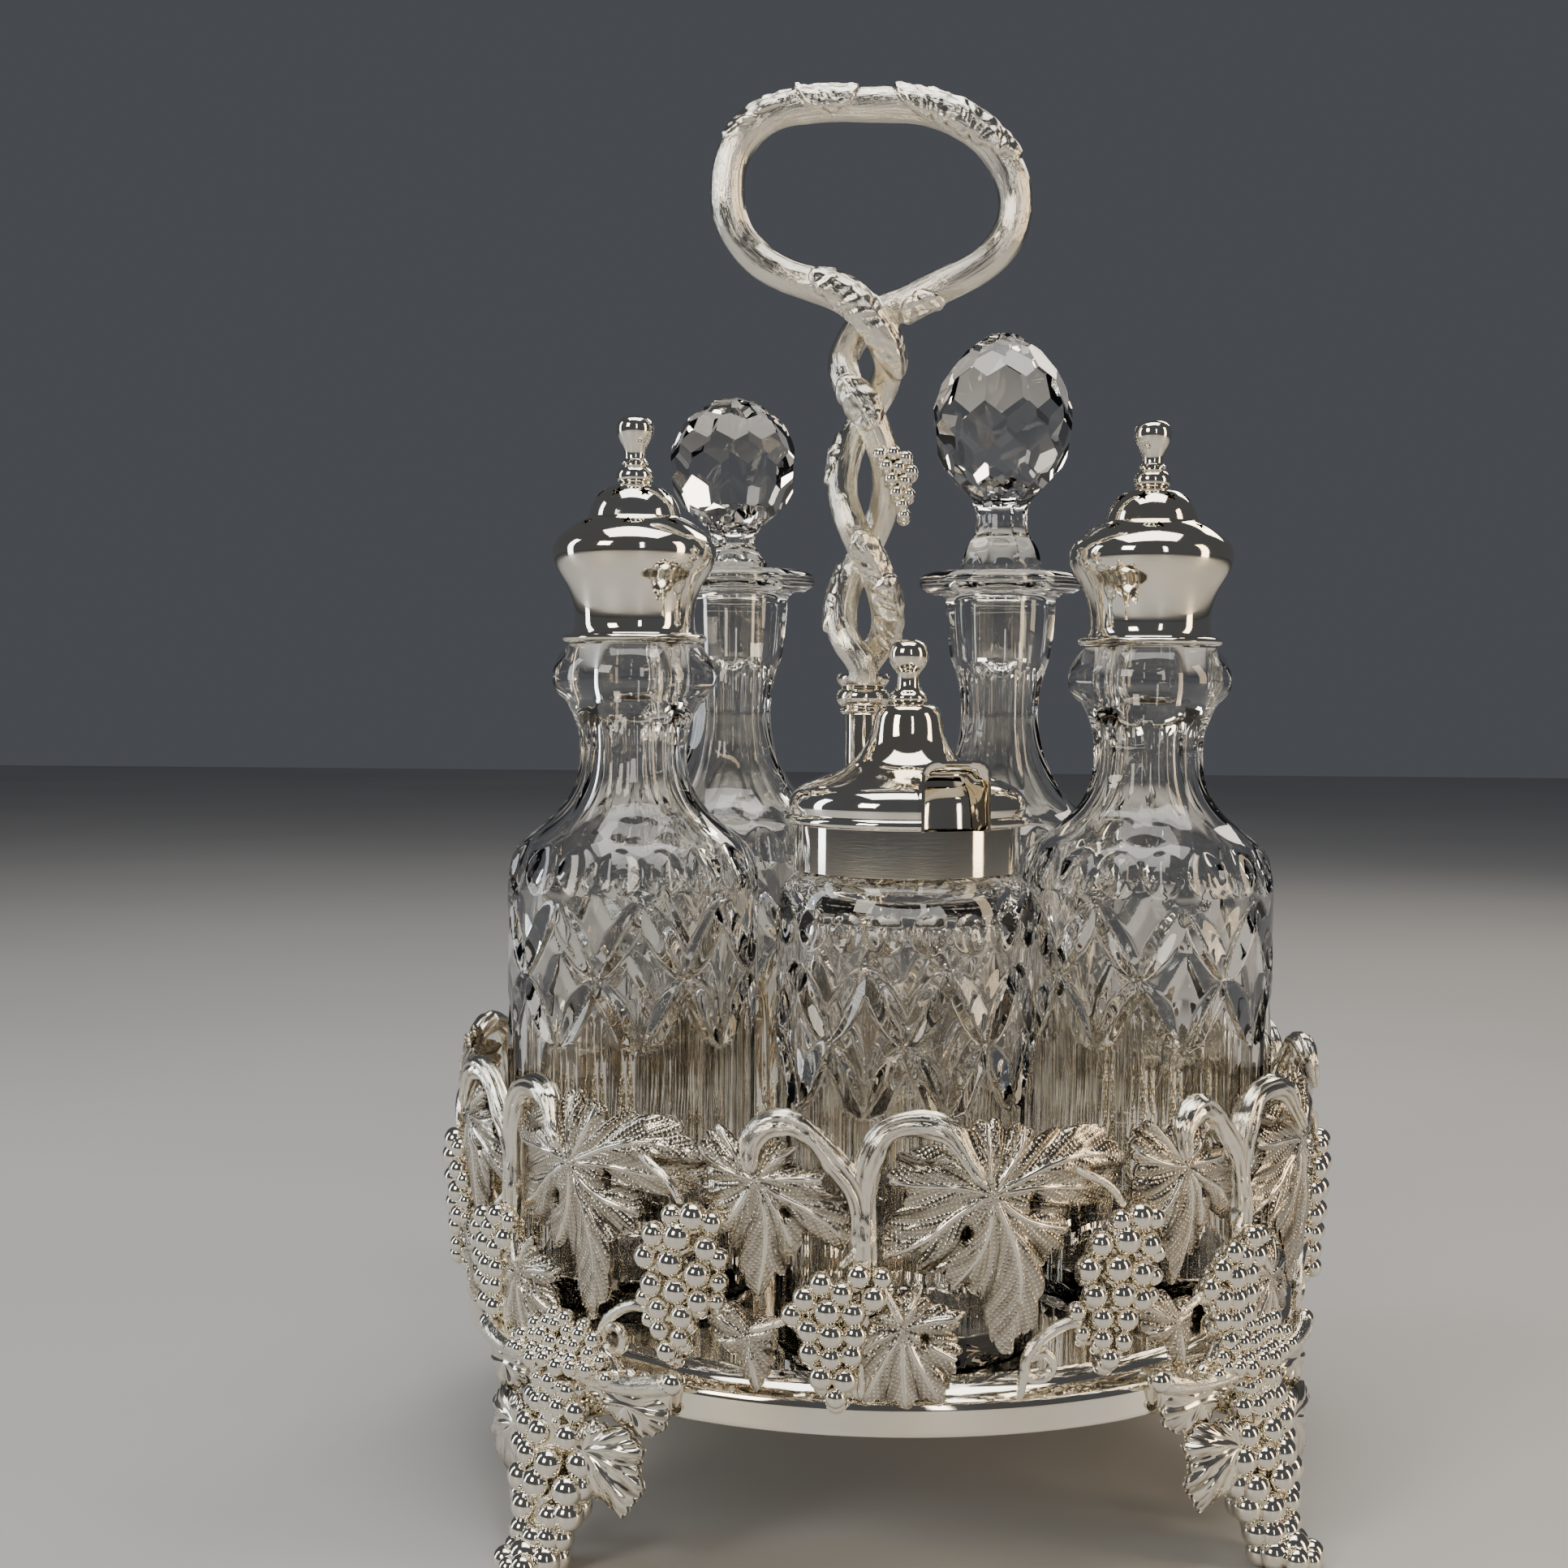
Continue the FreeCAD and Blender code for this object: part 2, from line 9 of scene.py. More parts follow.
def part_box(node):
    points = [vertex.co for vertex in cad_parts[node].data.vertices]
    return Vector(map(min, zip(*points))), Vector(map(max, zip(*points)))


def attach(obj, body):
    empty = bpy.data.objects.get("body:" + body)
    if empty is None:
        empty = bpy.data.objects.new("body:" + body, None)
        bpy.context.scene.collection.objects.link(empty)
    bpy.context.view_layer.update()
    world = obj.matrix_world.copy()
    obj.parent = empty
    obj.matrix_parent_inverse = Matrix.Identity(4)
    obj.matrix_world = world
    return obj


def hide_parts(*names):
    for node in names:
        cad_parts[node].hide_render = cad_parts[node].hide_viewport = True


# A five-bottle cruet set. All shapes are worked out in millimetres in the CAD's
# own frame (+Z up, -Y to the front) and turned into metres as meshes are made.
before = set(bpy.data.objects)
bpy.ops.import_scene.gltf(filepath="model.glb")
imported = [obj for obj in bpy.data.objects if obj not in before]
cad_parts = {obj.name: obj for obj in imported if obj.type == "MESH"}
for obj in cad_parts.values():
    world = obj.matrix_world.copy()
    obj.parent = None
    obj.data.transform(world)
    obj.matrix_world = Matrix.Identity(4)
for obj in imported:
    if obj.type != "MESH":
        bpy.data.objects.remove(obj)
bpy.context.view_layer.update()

MM = 0.001
ON_AXIS = 1e-6           # an end of a profile this near the axis is a tip
# Edges sharper than these angles stay crisp.
SHARP_TURNED = 38
SHARP_CUT = 24
SHARP_FACET = 12
SHARP_SHEET = 50


# ---------------------------------------------------------------- places
def extent(node):
    low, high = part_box(node)
    return np.array(low) / MM, np.array(high) / MM


def axis_of(node):
    """Middle of a turned node, and its lowest height."""
    low, high = extent(node)
    return (low[0] + high[0]) / 2, (low[1] + high[1]) / 2, low[2]


TRAY_R = extent("base_rim")[1][0]
BAND_LOW = extent("base_rim")[0][2]
BAND_HIGH = extent("base_rim")[1][2]
FLOOR_Z = extent("base_plate")[1][2]
STEM_X = axis_of("stem_tube")[0]
PANELS = 7
FIRST_POST = -92.3
FEET = {"front_left": -130.5, "front_right": -40.5, "back_right": 49.5, "back_left": 139.5}


# ---------------------------------------------------------------- curves
def distances(path):
    """Distance along a path to each of its points."""
    return np.r_[0, np.cumsum(np.linalg.norm(np.diff(path, axis=0), axis=1))]


def spline(points, step):
    """Natural cubic curve through the points, sampled about every step."""
    p = np.array(points, float)
    reach = distances(p)
    h = np.diff(reach)
    n = len(p)
    system = np.eye(n)
    known = np.zeros_like(p)
    for i in range(1, n - 1):
        system[i, i - 1], system[i, i], system[i, i + 1] = h[i - 1], 2 * (h[i - 1] + h[i]), h[i]
        known[i] = 6 * ((p[i + 1] - p[i]) / h[i] - (p[i] - p[i - 1]) / h[i - 1])
    bend = np.linalg.solve(system, known)
    t = np.linspace(0, reach[-1], max(2, math.ceil(reach[-1] / step) + 1))
    i = np.clip(np.searchsorted(reach, t) - 1, 0, n - 2)
    a = ((reach[i + 1] - t) / h[i])[:, None]
    b = 1 - a
    hh = (h[i] ** 2)[:, None] / 6
    return a * p[i] + b * p[i + 1] + ((a ** 3 - a) * bend[i] + (b ** 3 - b) * bend[i + 1]) * hh


def trace(outline, step):
    """Dense (r, z) points along an outline; a list inside it is a smooth curve."""
    dense = [np.array([outline[0]], float)]
    for item in outline[1:]:
        last = dense[-1][-1]
        if isinstance(item, list):
            dense.append(spline([tuple(last)] + item, step)[1:])
        else:
            pieces = max(1, math.ceil(math.dist(last, item) / step))
            share = np.linspace(0, 1, pieces + 1)[1:, None]
            dense.append(last + (np.array(item, float) - last) * share)
    return np.concatenate(dense)


def lift(outline, height):
    """An outline moved up."""
    return [[(r, z + height) for r, z in item] if isinstance(item, list) else (item[0], item[1] + height)
            for item in outline]


def smoothstep(low, high, x):
    t = np.clip((x - low) / (high - low), 0, 1)
    return t * t * (3 - 2 * t)


# ---------------------------------------------------------------- meshes
def add_object(name, data):
    made = bpy.data.objects.new(name, data)
    bpy.context.scene.collection.objects.link(made)
    return made


def make_object(name, vertices, faces, material, sharp=None, smooth=True):
    mesh = bpy.data.meshes.new(name)
    mesh.from_pydata((np.asarray(vertices) * MM).tolist(), [], faces)
    mesh.validate()
    mesh.polygons.foreach_set("use_smooth", [smooth] * len(mesh.polygons))
    if sharp:
        mesh.set_sharp_from_angle(angle=math.radians(sharp))
    mesh.materials.append(material)
    return add_object(name, mesh)


def grid_faces(rows, columns, wrap=True, start=0):
    """Quads of a grid of points, closed round its columns when wrap is set."""
    across = columns if wrap else columns - 1
    i, j = np.meshgrid(np.arange(rows - 1), np.arange(across), indexing="ij")
    k = (j + 1) % columns
    a = start + i * columns + j
    b = start + i * columns + k
    return np.stack([a, b, b + columns, a + columns], -1).reshape(-1, 4).tolist()


def tip_fan(tip, base, segments, low=False):
    """Triangles from a tip to the ring of points that starts at base; low when the tip is the first."""
    pairs = [(base + k, base + (k + 1) % segments) for k in range(segments)]
    return [[tip, b, a] if low else [tip, a, b] for a, b in pairs]


def sheet_faces(rows, columns, turned=False):
    """Faces of two open grids, one behind the other, joined round their edge."""
    count = rows * columns
    near = grid_faces(rows, columns, False)
    far = grid_faces(rows, columns, False, count)
    edge = list(range(columns)) + [i * columns + columns - 1 for i in range(1, rows)]
    edge += [count - 1 - j for j in range(1, columns)] + [i * columns for i in range(rows - 2, 0, -1)]
    pairs = list(zip(edge, edge[1:] + edge[:1]))
    if turned:
        return [f[::-1] for f in near] + far + [[a, b, b + count, a + count] for a, b in pairs]
    return near + [f[::-1] for f in far] + [[b, a, a + count, b + count] for a, b in pairs]


def turned_grid(profile, segments, relief=None):
    """Points of a turned surface and its number of rows."""
    turn = np.arange(segments) * 2 * math.pi / segments
    r = profile[:, 0][:, None] * np.ones(segments)
    z = profile[:, 1][:, None] * np.ones(segments)
    if relief is not None:
        r = r - relief(turn[None, :], z)
    points = np.stack([r * np.cos(turn), r * np.sin(turn), z], -1)
    return points.reshape(-1, 3), len(profile)


def lathe(name, outline, material, place, segments=128, step=0.6, sharp=SHARP_TURNED,
          relief=None):
    """Turned piece; an outline that starts and ends on the axis is a solid."""
    profile = trace(outline, step)
    closed_ring = profile[0][0] > ON_AXIS
    first_tip = not closed_ring
    last_tip = profile[-1][0] < ON_AXIS
    body = profile[int(first_tip):len(profile) - int(last_tip)]
    points, rows = turned_grid(body, segments, relief)
    points = points.tolist()
    faces = grid_faces(rows, segments)
    base = (rows - 1) * segments
    if closed_ring:
        ring = np.arange(segments)
        after = (ring + 1) % segments
        faces += np.stack([base + ring, base + after, after, ring], -1).tolist()
    if first_tip:
        points.append([0, 0, profile[0][1]])
        faces += tip_fan(len(points) - 1, 0, segments, low=True)
    if last_tip:
        points.append([0, 0, profile[-1][1]])
        faces += tip_fan(len(points) - 1, base, segments)
    points = np.array(points) + np.array([place[0], place[1], 0])
    return make_object(name, points, faces, material, sharp)


def frames(points):
    """Direction and two steady side directions at each point of a path."""
    p = np.asarray(points, float)
    ahead = np.gradient(p, axis=0)
    ahead /= np.linalg.norm(ahead, axis=1)[:, None]
    side = np.cross(ahead[0], [0.0, 0.0, 1.0])
    if np.linalg.norm(side) < 0.1:
        side = np.cross(ahead[0], [0.0, 1.0, 0.0])
    sides = []
    for direction in ahead:
        side = side - direction * (side @ direction)
        side = side / np.linalg.norm(side)
        sides.append(side)
    sides = np.array(sides)
    return ahead, sides, np.cross(ahead, sides)


def sweep(points, radius, segments, bark=None):
    """Grid of points round a path, its row count and the (along, round) place of each point."""
    p = np.asarray(points, float)
    _, sides, ups = frames(p)
    turn = np.arange(segments) * 2 * math.pi / segments
    along = distances(p)
    r = np.broadcast_to(np.asarray(radius, float).reshape(-1, 1), (len(p), segments)).copy()
    places = np.stack([along[:, None] * np.ones(segments), turn * r], -1).reshape(-1, 2)
    if bark is not None:
        r = r + bark(along[:, None], turn[None, :])
    offset = sides[:, None] * np.cos(turn)[None, :, None] + ups[:, None] * np.sin(turn)[None, :, None]
    return (p[:, None] + offset * r[..., None]).reshape(-1, 3), len(p), places


def capped(rows, segments):
    """Faces of a swept grid with its two ends closed."""
    ring = np.arange(segments)
    return grid_faces(rows, segments) + [ring[::-1].tolist(), ((rows - 1) * segments + ring).tolist()]


def bake_modifiers(piece):
    """Replaces the piece's mesh by what its modifiers give."""
    graph = bpy.context.evaluated_depsgraph_get()
    shaped = bpy.data.meshes.new_from_object(piece.evaluated_get(graph))
    piece.modifiers.clear()
    piece.data = shaped
    shaped.polygons.foreach_set("use_smooth", [True] * len(shaped.polygons))


def combine(piece, other, operation):
    """Joins a piece with another, or cuts it by the other, which is then deleted."""
    change = piece.modifiers.new("combine", "BOOLEAN")
    change.operation = operation
    change.solver = "EXACT"
    change.object = other
    bake_modifiers(piece)
    bpy.data.objects.remove(other)


def keep_crisp(piece, angle):
    piece.data.set_sharp_from_angle(angle=math.radians(angle))


# ---------------------------------------------------------------- materials
def new_material(name):
    material = bpy.data.materials.new(name)
    material.use_nodes = True
    tree = material.node_tree
    return material, tree, tree.nodes["Principled BSDF"]


def node(tree, kind, **values):
    """A new node; in_Some_Name sets the input "Some Name" and other names set properties."""
    made = tree.nodes.new(kind)
    for key, value in values.items():
        if key.startswith("in_"):
            made.inputs[key[3:].replace("_", " ")].default_value = value
        else:
            setattr(made, key, value)
    return made


def link(tree, source, output, target, entry):
    tree.links.new(source.outputs[output], target.inputs[entry])


def ramp(tree, source, stops):
    made = tree.nodes.new("ShaderNodeValToRGB")
    elements = made.color_ramp.elements
    while len(elements) < len(stops):
        elements.new(0.5)
    for element, (position, colour) in zip(elements, stops):
        element.position = position
        element.color = colour
    tree.links.new(source, made.inputs["Fac"])
    return made


def shade(tree, source, stops, shader, entry):
    """Drives one input of a shader by a ramp over a source."""
    link(tree, ramp(tree, source, stops), "Color", shader, entry)


def roughen(tree, source, low, high, shader, start=0.35):
    """Roughness that wanders between two values."""
    shade(tree, source, [(start, grey(low)), (0.75, grey(high))], shader, "Roughness")


def bump(tree, source, strength, distance, under=None):
    """Bump from a height, on top of an earlier bump when one is given."""
    made = node(tree, "ShaderNodeBump", in_Strength=strength, in_Distance=distance)
    tree.links.new(source, made.inputs["Height"])
    if under is not None:
        link(tree, under, "Normal", made, "Normal")
    return made


def mixed_by(tree, operation, first, second):
    """Result of a math node on two sources."""
    made = node(tree, "ShaderNodeMath", operation=operation)
    tree.links.new(first, made.inputs[0])
    tree.links.new(second, made.inputs[1])
    return made.outputs[0]


def stretched_noise(tree, place, scale, detail, roughness, **mapping):
    """Noise over coordinates that a mapping node stretches first."""
    stretch = node(tree, "ShaderNodeMapping", **mapping)
    tree.links.new(place, stretch.inputs["Vector"])
    made = node(tree, "ShaderNodeTexNoise", in_Scale=scale, in_Detail=detail, in_Roughness=roughness)
    link(tree, stretch, "Vector", made, "Vector")
    return made


def noise(tree, scale, detail=3.0, roughness=0.5):
    coords = node(tree, "ShaderNodeTexCoord")
    made = node(tree, "ShaderNodeTexNoise", in_Scale=scale, in_Detail=detail, in_Roughness=roughness)
    link(tree, coords, "Object", made, "Vector")
    return made


def grey(value):
    return (value, value, value, 1)


def silver_plate(name, tint, low_rough, high_rough, scratch=0.02):
    """Polished plate: faint wipe marks, a little warm tarnish and hairline scratches."""
    material, tree, shader = new_material(name)
    shader.inputs["Metallic"].default_value = 1.0
    cloud = noise(tree, 60, 4)
    warm = tuple(c * k for c, k in zip(tint[:3], (0.97, 0.90, 0.78))) + (1,)
    shade(tree, cloud.outputs["Fac"], [(0.38, tint), (0.72, warm)], shader, "Base Color")
    marks = noise(tree, 420, 5, 0.6)
    roughen(tree, marks.outputs["Fac"], low_rough, high_rough, shader)
    coords = node(tree, "ShaderNodeTexCoord")
    lines = stretched_noise(tree, coords.outputs["Object"], 240.0, 6.0, 0.7,
                            in_Scale=(1.0, 1.0, 14.0), in_Rotation=(0.5, 0.3, 0.0))
    link(tree, bump(tree, lines.outputs["Fac"], scratch, 0.0002), "Normal", shader, "Normal")
    return material


def cut_glass(name, tint):
    """Clear lead glass with slight waviness and a few dull specks."""
    material, tree, shader = new_material(name)
    shader.inputs["Base Color"].default_value = tint
    shader.inputs["Transmission Weight"].default_value = 1.0
    shader.inputs["IOR"].default_value = 1.53
    specks = noise(tree, 900, 2)
    shade(tree, specks.outputs["Fac"], [(0.60, grey(0.0)), (0.80, grey(0.035))], shader, "Roughness")
    wave = noise(tree, 45, 2)
    link(tree, bump(tree, wave.outputs["Fac"], 0.05, 0.002), "Normal", shader, "Normal")
    return material


# The silver's warm tint is partly its own tone and partly a painted warm reflection.
SILVER = silver_plate("polished_silver", (0.90, 0.86, 0.77, 1), 0.025, 0.08)
GLASS = cut_glass("cut_glass", (0.99, 0.975, 0.94, 1))


# ---------------------------------------------------------------- cut glass
FLUTES = 9               # neck flutes and diamonds round a bottle
ROUND = 360              # points round each bottle


def boat(u, v, start, end, half_width, depth):
    """Depth of a mitre cut from start to end, widest at its middle."""
    ax, az = start
    bx, bz = end
    length = math.hypot(bx - ax, bz - az)
    ux, uz = (bx - ax) / length, (bz - az) / length
    along = ((u - ax) * ux + (v - az) * uz) / length
    away = np.abs((u - ax) * uz - (v - az) * ux)
    width = half_width * np.sqrt(np.clip(1 - (2 * along - 1) ** 2, 0, 1)) + 1e-6
    return depth * np.clip(1 - away / width, 0, 1) * width / half_width


def body_cuts(radius, count, top, middle, bottom, print_z, print_w, print_h):
    """Relief of a body: a row of round prints, diamonds of mitre cuts, flats below."""
    half = math.pi * radius / count

    def relief(turn, z):
        u = np.abs(((turn * radius + half) % (2 * half)) - half)
        cuts = boat(u, z, (0, top), (half, middle), 2.5, 1.35)
        cuts = np.maximum(cuts, boat(u, z, (half, middle), (0, bottom), 2.5, 1.35))
        print_u = np.abs(((turn * radius) % half) - half / 2)
        disc = 1 - (print_u / print_w) ** 2 - ((z - print_z) / print_h) ** 2
        cuts = np.maximum(cuts, 1.05 * np.clip(disc, 0, 1))
        flat_u = np.abs(((turn * radius + half / 2) % half) - half / 2) / (half / 2)
        arch = np.clip((middle - 3.0 - z) / 9.0, 0, 1)
        low = np.clip((z - 2.0) / 1.5, 0, 1)
        flats = 0.5 * np.clip(np.minimum(1 - flat_u ** 2, 1.0) - (1 - arch) ** 2, 0, 1) * low
        below = z < middle
        return np.where(below, np.maximum(cuts, flats), cuts)

    return relief


def neck_flutes(count, low, high, fade_low, fade_high, depth):
    """Hollow flutes down a neck, with rounded ends."""
    def relief(turn, z):
        u = ((turn * count / (2 * math.pi) + 0.5) % 1.0) * 2 - 1
        ends = np.clip((z - low) / fade_low, 0, 1) * np.clip((high - z) / fade_high, 0, 1)
        return depth * np.clip((1 - u ** 2) - (1 - ends) ** 2, 0, 1)
    return relief


def bottle(name, outside, inside, cuts, place, step=0.42):
    """Closed glass vessel: cut outside, smooth inside, joined at the lip."""
    outer = trace(outside, step)
    inner = trace(inside, 1.2)
    x, y, base = place

    def relief(turn, z):
        return np.maximum.reduce([cut(turn, z) for cut in cuts])

    tip = outer[0]
    points, rows_out = turned_grid(outer[1:], ROUND, relief)
    inner_points, rows_in = turned_grid(inner[:-1], ROUND)
    points = np.concatenate([points, inner_points, [[0, 0, tip[1]], [0, 0, inner[-1][1]]]])
    rows = rows_out + rows_in
    faces = grid_faces(rows, ROUND)
    faces += tip_fan(len(points) - 2, 0, ROUND, low=True)
    faces += tip_fan(len(points) - 1, (rows - 1) * ROUND, ROUND)
    points = points + np.array([x, y, base])
    return make_object(name, points, faces, GLASS, SHARP_CUT)


# Outlines are (r, z) from the middle of each vessel's foot.
BODY_R = 23.3
POT_R = 22.2
LIP = 136.5              # height of a cruet's lip above its foot
BODY_OUT = [(0, 0), (19.0, 0), (BODY_R - 1.0, 0.1), (BODY_R, 1.1), (BODY_R, 77.0)]
BODY_IN = [(20.5, 6.5), (18.5, 4.5), (0, 4.5)]
BODY_RELIEF = body_cuts(BODY_R, FLUTES, 74.0, 60.4, 46.8, 79.2, 3.7, 4.3)

CASTER_OUT = BODY_OUT + [
    [(22.1, 81.5), (18.5, 85.0), (13.5, 89.6), (11.0, 94.0), (10.2, 98.6), (10.9, 105.5), (12.7, 109.4)],
    [(14.6, 111.4), (15.1, 113.9), (14.4, 116.6), (12.2, 119.7)],
    (9.3, 119.9), (9.0, 120.2), (9.0, 126.9)]
CASTER_IN = [(7.0, 126.9), (7.0, 101.0),
             [(7.6, 96.0), (9.6, 90.4), (14.0, 84.6), (18.6, 80.4), (20.5, 76.0)]] + BODY_IN

CRUET_OUT = BODY_OUT + [
    [(22.1, 81.5), (18.6, 85.0), (14.6, 89.2), (11.2, 95.2), (9.2, 101.5), (8.6, 107.0), (9.3, 112.5),
     (10.4, 118.0), (11.3, 124.5), (11.6, LIP - 6.2)],
    [(12.6, LIP - 5.0), (15.2, LIP - 4.6), (17.1, LIP - 3.2), (17.1, LIP - 1.4), (15.4, LIP - 0.2),
     (14.2, LIP)]]
CRUET_IN = [(8.4, LIP), (6.6, LIP - 1.4), (6.15, LIP - 19.0), (6.1, 104.0),
            [(6.7, 99.6), (8.4, 94.6), (12.0, 88.2), (17.6, 81.6), (20.5, 76.0)]] + BODY_IN

POT_OUT = [(0, 0), (18.0, 0), (POT_R - 1.0, 0.1), (POT_R, 1.1), (POT_R, 73.0),
           [(21.7, 76.4), (20.2, 79.6), (18.0, 81.2)], (18.0, 88.4)]
POT_IN = [(15.6, 88.4), (15.6, 80.0), [(16.6, 77.6), (18.8, 74.4), (19.6, 71.0)],
          (19.6, 6.5), (17.6, 4.5), (0, 4.5)]


def glass_vessels():
    made = []
    for side in ("left", "right"):
        name = side + "_caster_glass"
        made.append((bottle("cut_" + name, CASTER_OUT, CASTER_IN,
                            [BODY_RELIEF, neck_flutes(FLUTES, 84.4, 108.4, 12, 9, 0.85)], axis_of(name)),
                     name, side + "_caster"))
        name = side + "_cruet_glass"
        made.append((bottle("cut_" + name, CRUET_OUT, CRUET_IN,
                            [BODY_RELIEF, neck_flutes(8, 84.4, 117.6, 12, 5, 0.8)], axis_of(name)),
                     name, side + "_cruet"))
    pot_relief = body_cuts(POT_R, 10, 67.0, 54.5, 42.0, 72.6, 2.9, 3.2)
    made.append((bottle("cut_mustard_glass", POT_OUT, POT_IN, [pot_relief], axis_of("mustard_glass")),
                 "mustard_glass", "mustard_pot"))
    for piece, name, body in made:
        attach(piece, body)
        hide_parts(name)


# ---------------------------------------------------------------- stoppers
BLANK = 60               # side of the cube the facets are cut from, and its middle's height
BLANK_Z = 200


def faceted_head(rows):
    """Convex polyhedron cut by planes that touch an egg: rows of (height, radius, lean, count)."""
    bm = bmesh.new()
    bmesh.ops.create_cube(bm, size=BLANK)
    bmesh.ops.translate(bm, verts=bm.verts, vec=(0, 0, BLANK_Z))
    for k, (height, radius, lean, count) in enumerate(rows):
        slope = math.radians(lean)
        for j in range(count):
            turn = 2 * math.pi * (j + 0.5 * (k % 2)) / count
            c, s = math.cos(turn), math.sin(turn)
            normal = Vector((c * math.cos(slope), s * math.cos(slope), math.sin(slope)))
            point = Vector((radius * c, radius * s, height))
            cut = bmesh.ops.bisect_plane(bm, geom=bm.verts[:] + bm.edges[:] + bm.faces[:], dist=1e-5,
                                         plane_co=point, plane_no=normal, clear_outer=True)
            edges = [e for e in cut["geom_cut"] if isinstance(e, bmesh.types.BMEdge)]
            if edges:
                bmesh.ops.contextual_create(bm, geom=edges)
    bmesh.ops.remove_doubles(bm, verts=bm.verts, dist=1e-4)
    bmesh.ops.recalc_face_normals(bm, faces=bm.faces)
    return bm


def flat_sides(low, high, count, radius):
    """Relief that turns a round neck into flats between two heights."""
    def relief(turn, z):
        off = ((turn + math.pi / count) % (2 * math.pi / count)) - math.pi / count
        flat = radius * (1 - math.cos(math.pi / count) / np.cos(off))
        return flat * np.clip((z - low) / 1.5, 0, 1) * np.clip((high - z) / 1.5, 0, 1)
    return relief


def stopper(name, rows, neck, place):
    head = faceted_head(rows)
    mesh = bpy.data.meshes.new(name + "_head")
    head.to_mesh(mesh)
    head.free()
    mesh.transform(Matrix.Translation((place[0], place[1], 0)))
    mesh.transform(Matrix.Scale(MM, 4))
    mesh.materials.append(GLASS)
    piece = add_object("facet_" + name, mesh)
    shaft = lathe(name + "_shaft", neck, GLASS, place, segments=96, step=0.6, sharp=14,
                  relief=flat_sides(172.4, 190.0, 8, 7.4))
    combine(piece, shaft, "UNION")
    keep_crisp(piece, SHARP_FACET)
    return piece


PLUG = [(0, 152.4), (5.55, 152.4), (6.09, 153.0), (6.54, 169.6), (6.54, 171.3)]
RIGHT_NECK = PLUG + [(8.4, 171.3), [(8.7, 173.0), (8.0, 176.0), (6.2, 178.8), (5.7, 182.0), (6.0, 184.8),
                                    (7.6, 187.2)], (7.2, 192.0), (0, 192.0)]
LEFT_NECK = PLUG + [(7.0, 171.3), [(7.2, 172.6), (6.0, 174.6), (4.8, 176.6), (5.2, 178.6), (6.8, 180.6)],
                    (6.2, 185.0), (0, 185.0)]
# Rows of facets: height, radius where the plane touches, lean of its normal, facets round.
RIGHT_FACETS = [(188.0, 7.95, -42, 10), (193.6, 12.22, -24, 10), (200.6, 14.16, -6, 10),
                (208.0, 13.19, 17, 10), (214.6, 9.89, 38, 10), (219.2, 5.43, 56, 10), (220.9, 0.0, 90, 1),
                (186.0, 0.0, -90, 1)]
LEFT_FACETS = [(181.6, 7.6, -50, 10), (186.2, 11.3, -28, 10), (192.6, 12.82, -3, 10),
               (199.2, 11.3, 26, 10), (204.0, 7.5, 52, 10), (206.4, 3.42, 72, 5), (207.1, 0.0, 90, 1),
               (179.6, 0.0, -90, 1)]


def glass_stoppers():
    for side, rows, neck in (("left", LEFT_FACETS, LEFT_NECK), ("right", RIGHT_FACETS, RIGHT_NECK)):
        name = side + "_stopper"
        piece = stopper(name, rows, neck, axis_of(name))
        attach(piece, name)
        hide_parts(name)


# ---------------------------------------------------------------- turned silver
def silver(piece, body, *nodes):
    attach(piece, body)
    if nodes:
        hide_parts(*nodes)
    return piece


def tray_metal():
    low, high = BAND_LOW, BAND_HIGH
    inner = TRAY_R - 1.4
    rim = lathe("tray_band", [(inner, low), (TRAY_R - 0.2, low), (TRAY_R, low + 0.3), (TRAY_R, high - 1.1),
                              [(TRAY_R - 0.1, high - 0.5), (TRAY_R - 0.45, high), (inner, high)]],
                SILVER, (0, 0), segments=256)
    silver(rim, "root", "base_rim")


CAP_TOP = 29.2           # height of a cap's dome above its foot
STARS_ROUND = 8


def star_prism(middle, out, side, up):
    """Corners of a five-pointed punch through the shell."""
    corners = []
    for depth in (-1.6, 2.2):
        for j in range(10):
            reach = 1.35 if j % 2 == 0 else 0.6
            a = math.pi / 2 + j * math.pi / 5
            corners.append(middle + out * depth + side * reach * math.cos(a)
                           + up * reach * math.sin(a))
    return corners


def stars(place, rings):
    """Star punches round a cap: rings of (radius, height, lean, first angle)."""
    points, faces = [], []
    for radius, height, lean, first in rings:
        slope = math.radians(lean)
        for k in range(STARS_ROUND):
            turn = math.radians(first + 45 * k)
            c, s = math.cos(turn), math.sin(turn)
            out = np.array([c * math.cos(slope), s * math.cos(slope), math.sin(slope)])
            side = np.array([-s, c, 0])
            middle = np.array([place[0] + radius * c, place[1] + radius * s, height])
            start = len(points)
            points += star_prism(middle, out, side, np.cross(out, side))
            faces.append([start + j for j in range(9, -1, -1)])
            faces.append([start + 10 + j for j in range(10)])
            faces += [[start + j, start + (j + 1) % 10, start + 10 + (j + 1) % 10, start + 10 + j]
                      for j in range(10)]
    return make_object("star_punches", points, faces, SILVER, smooth=False)


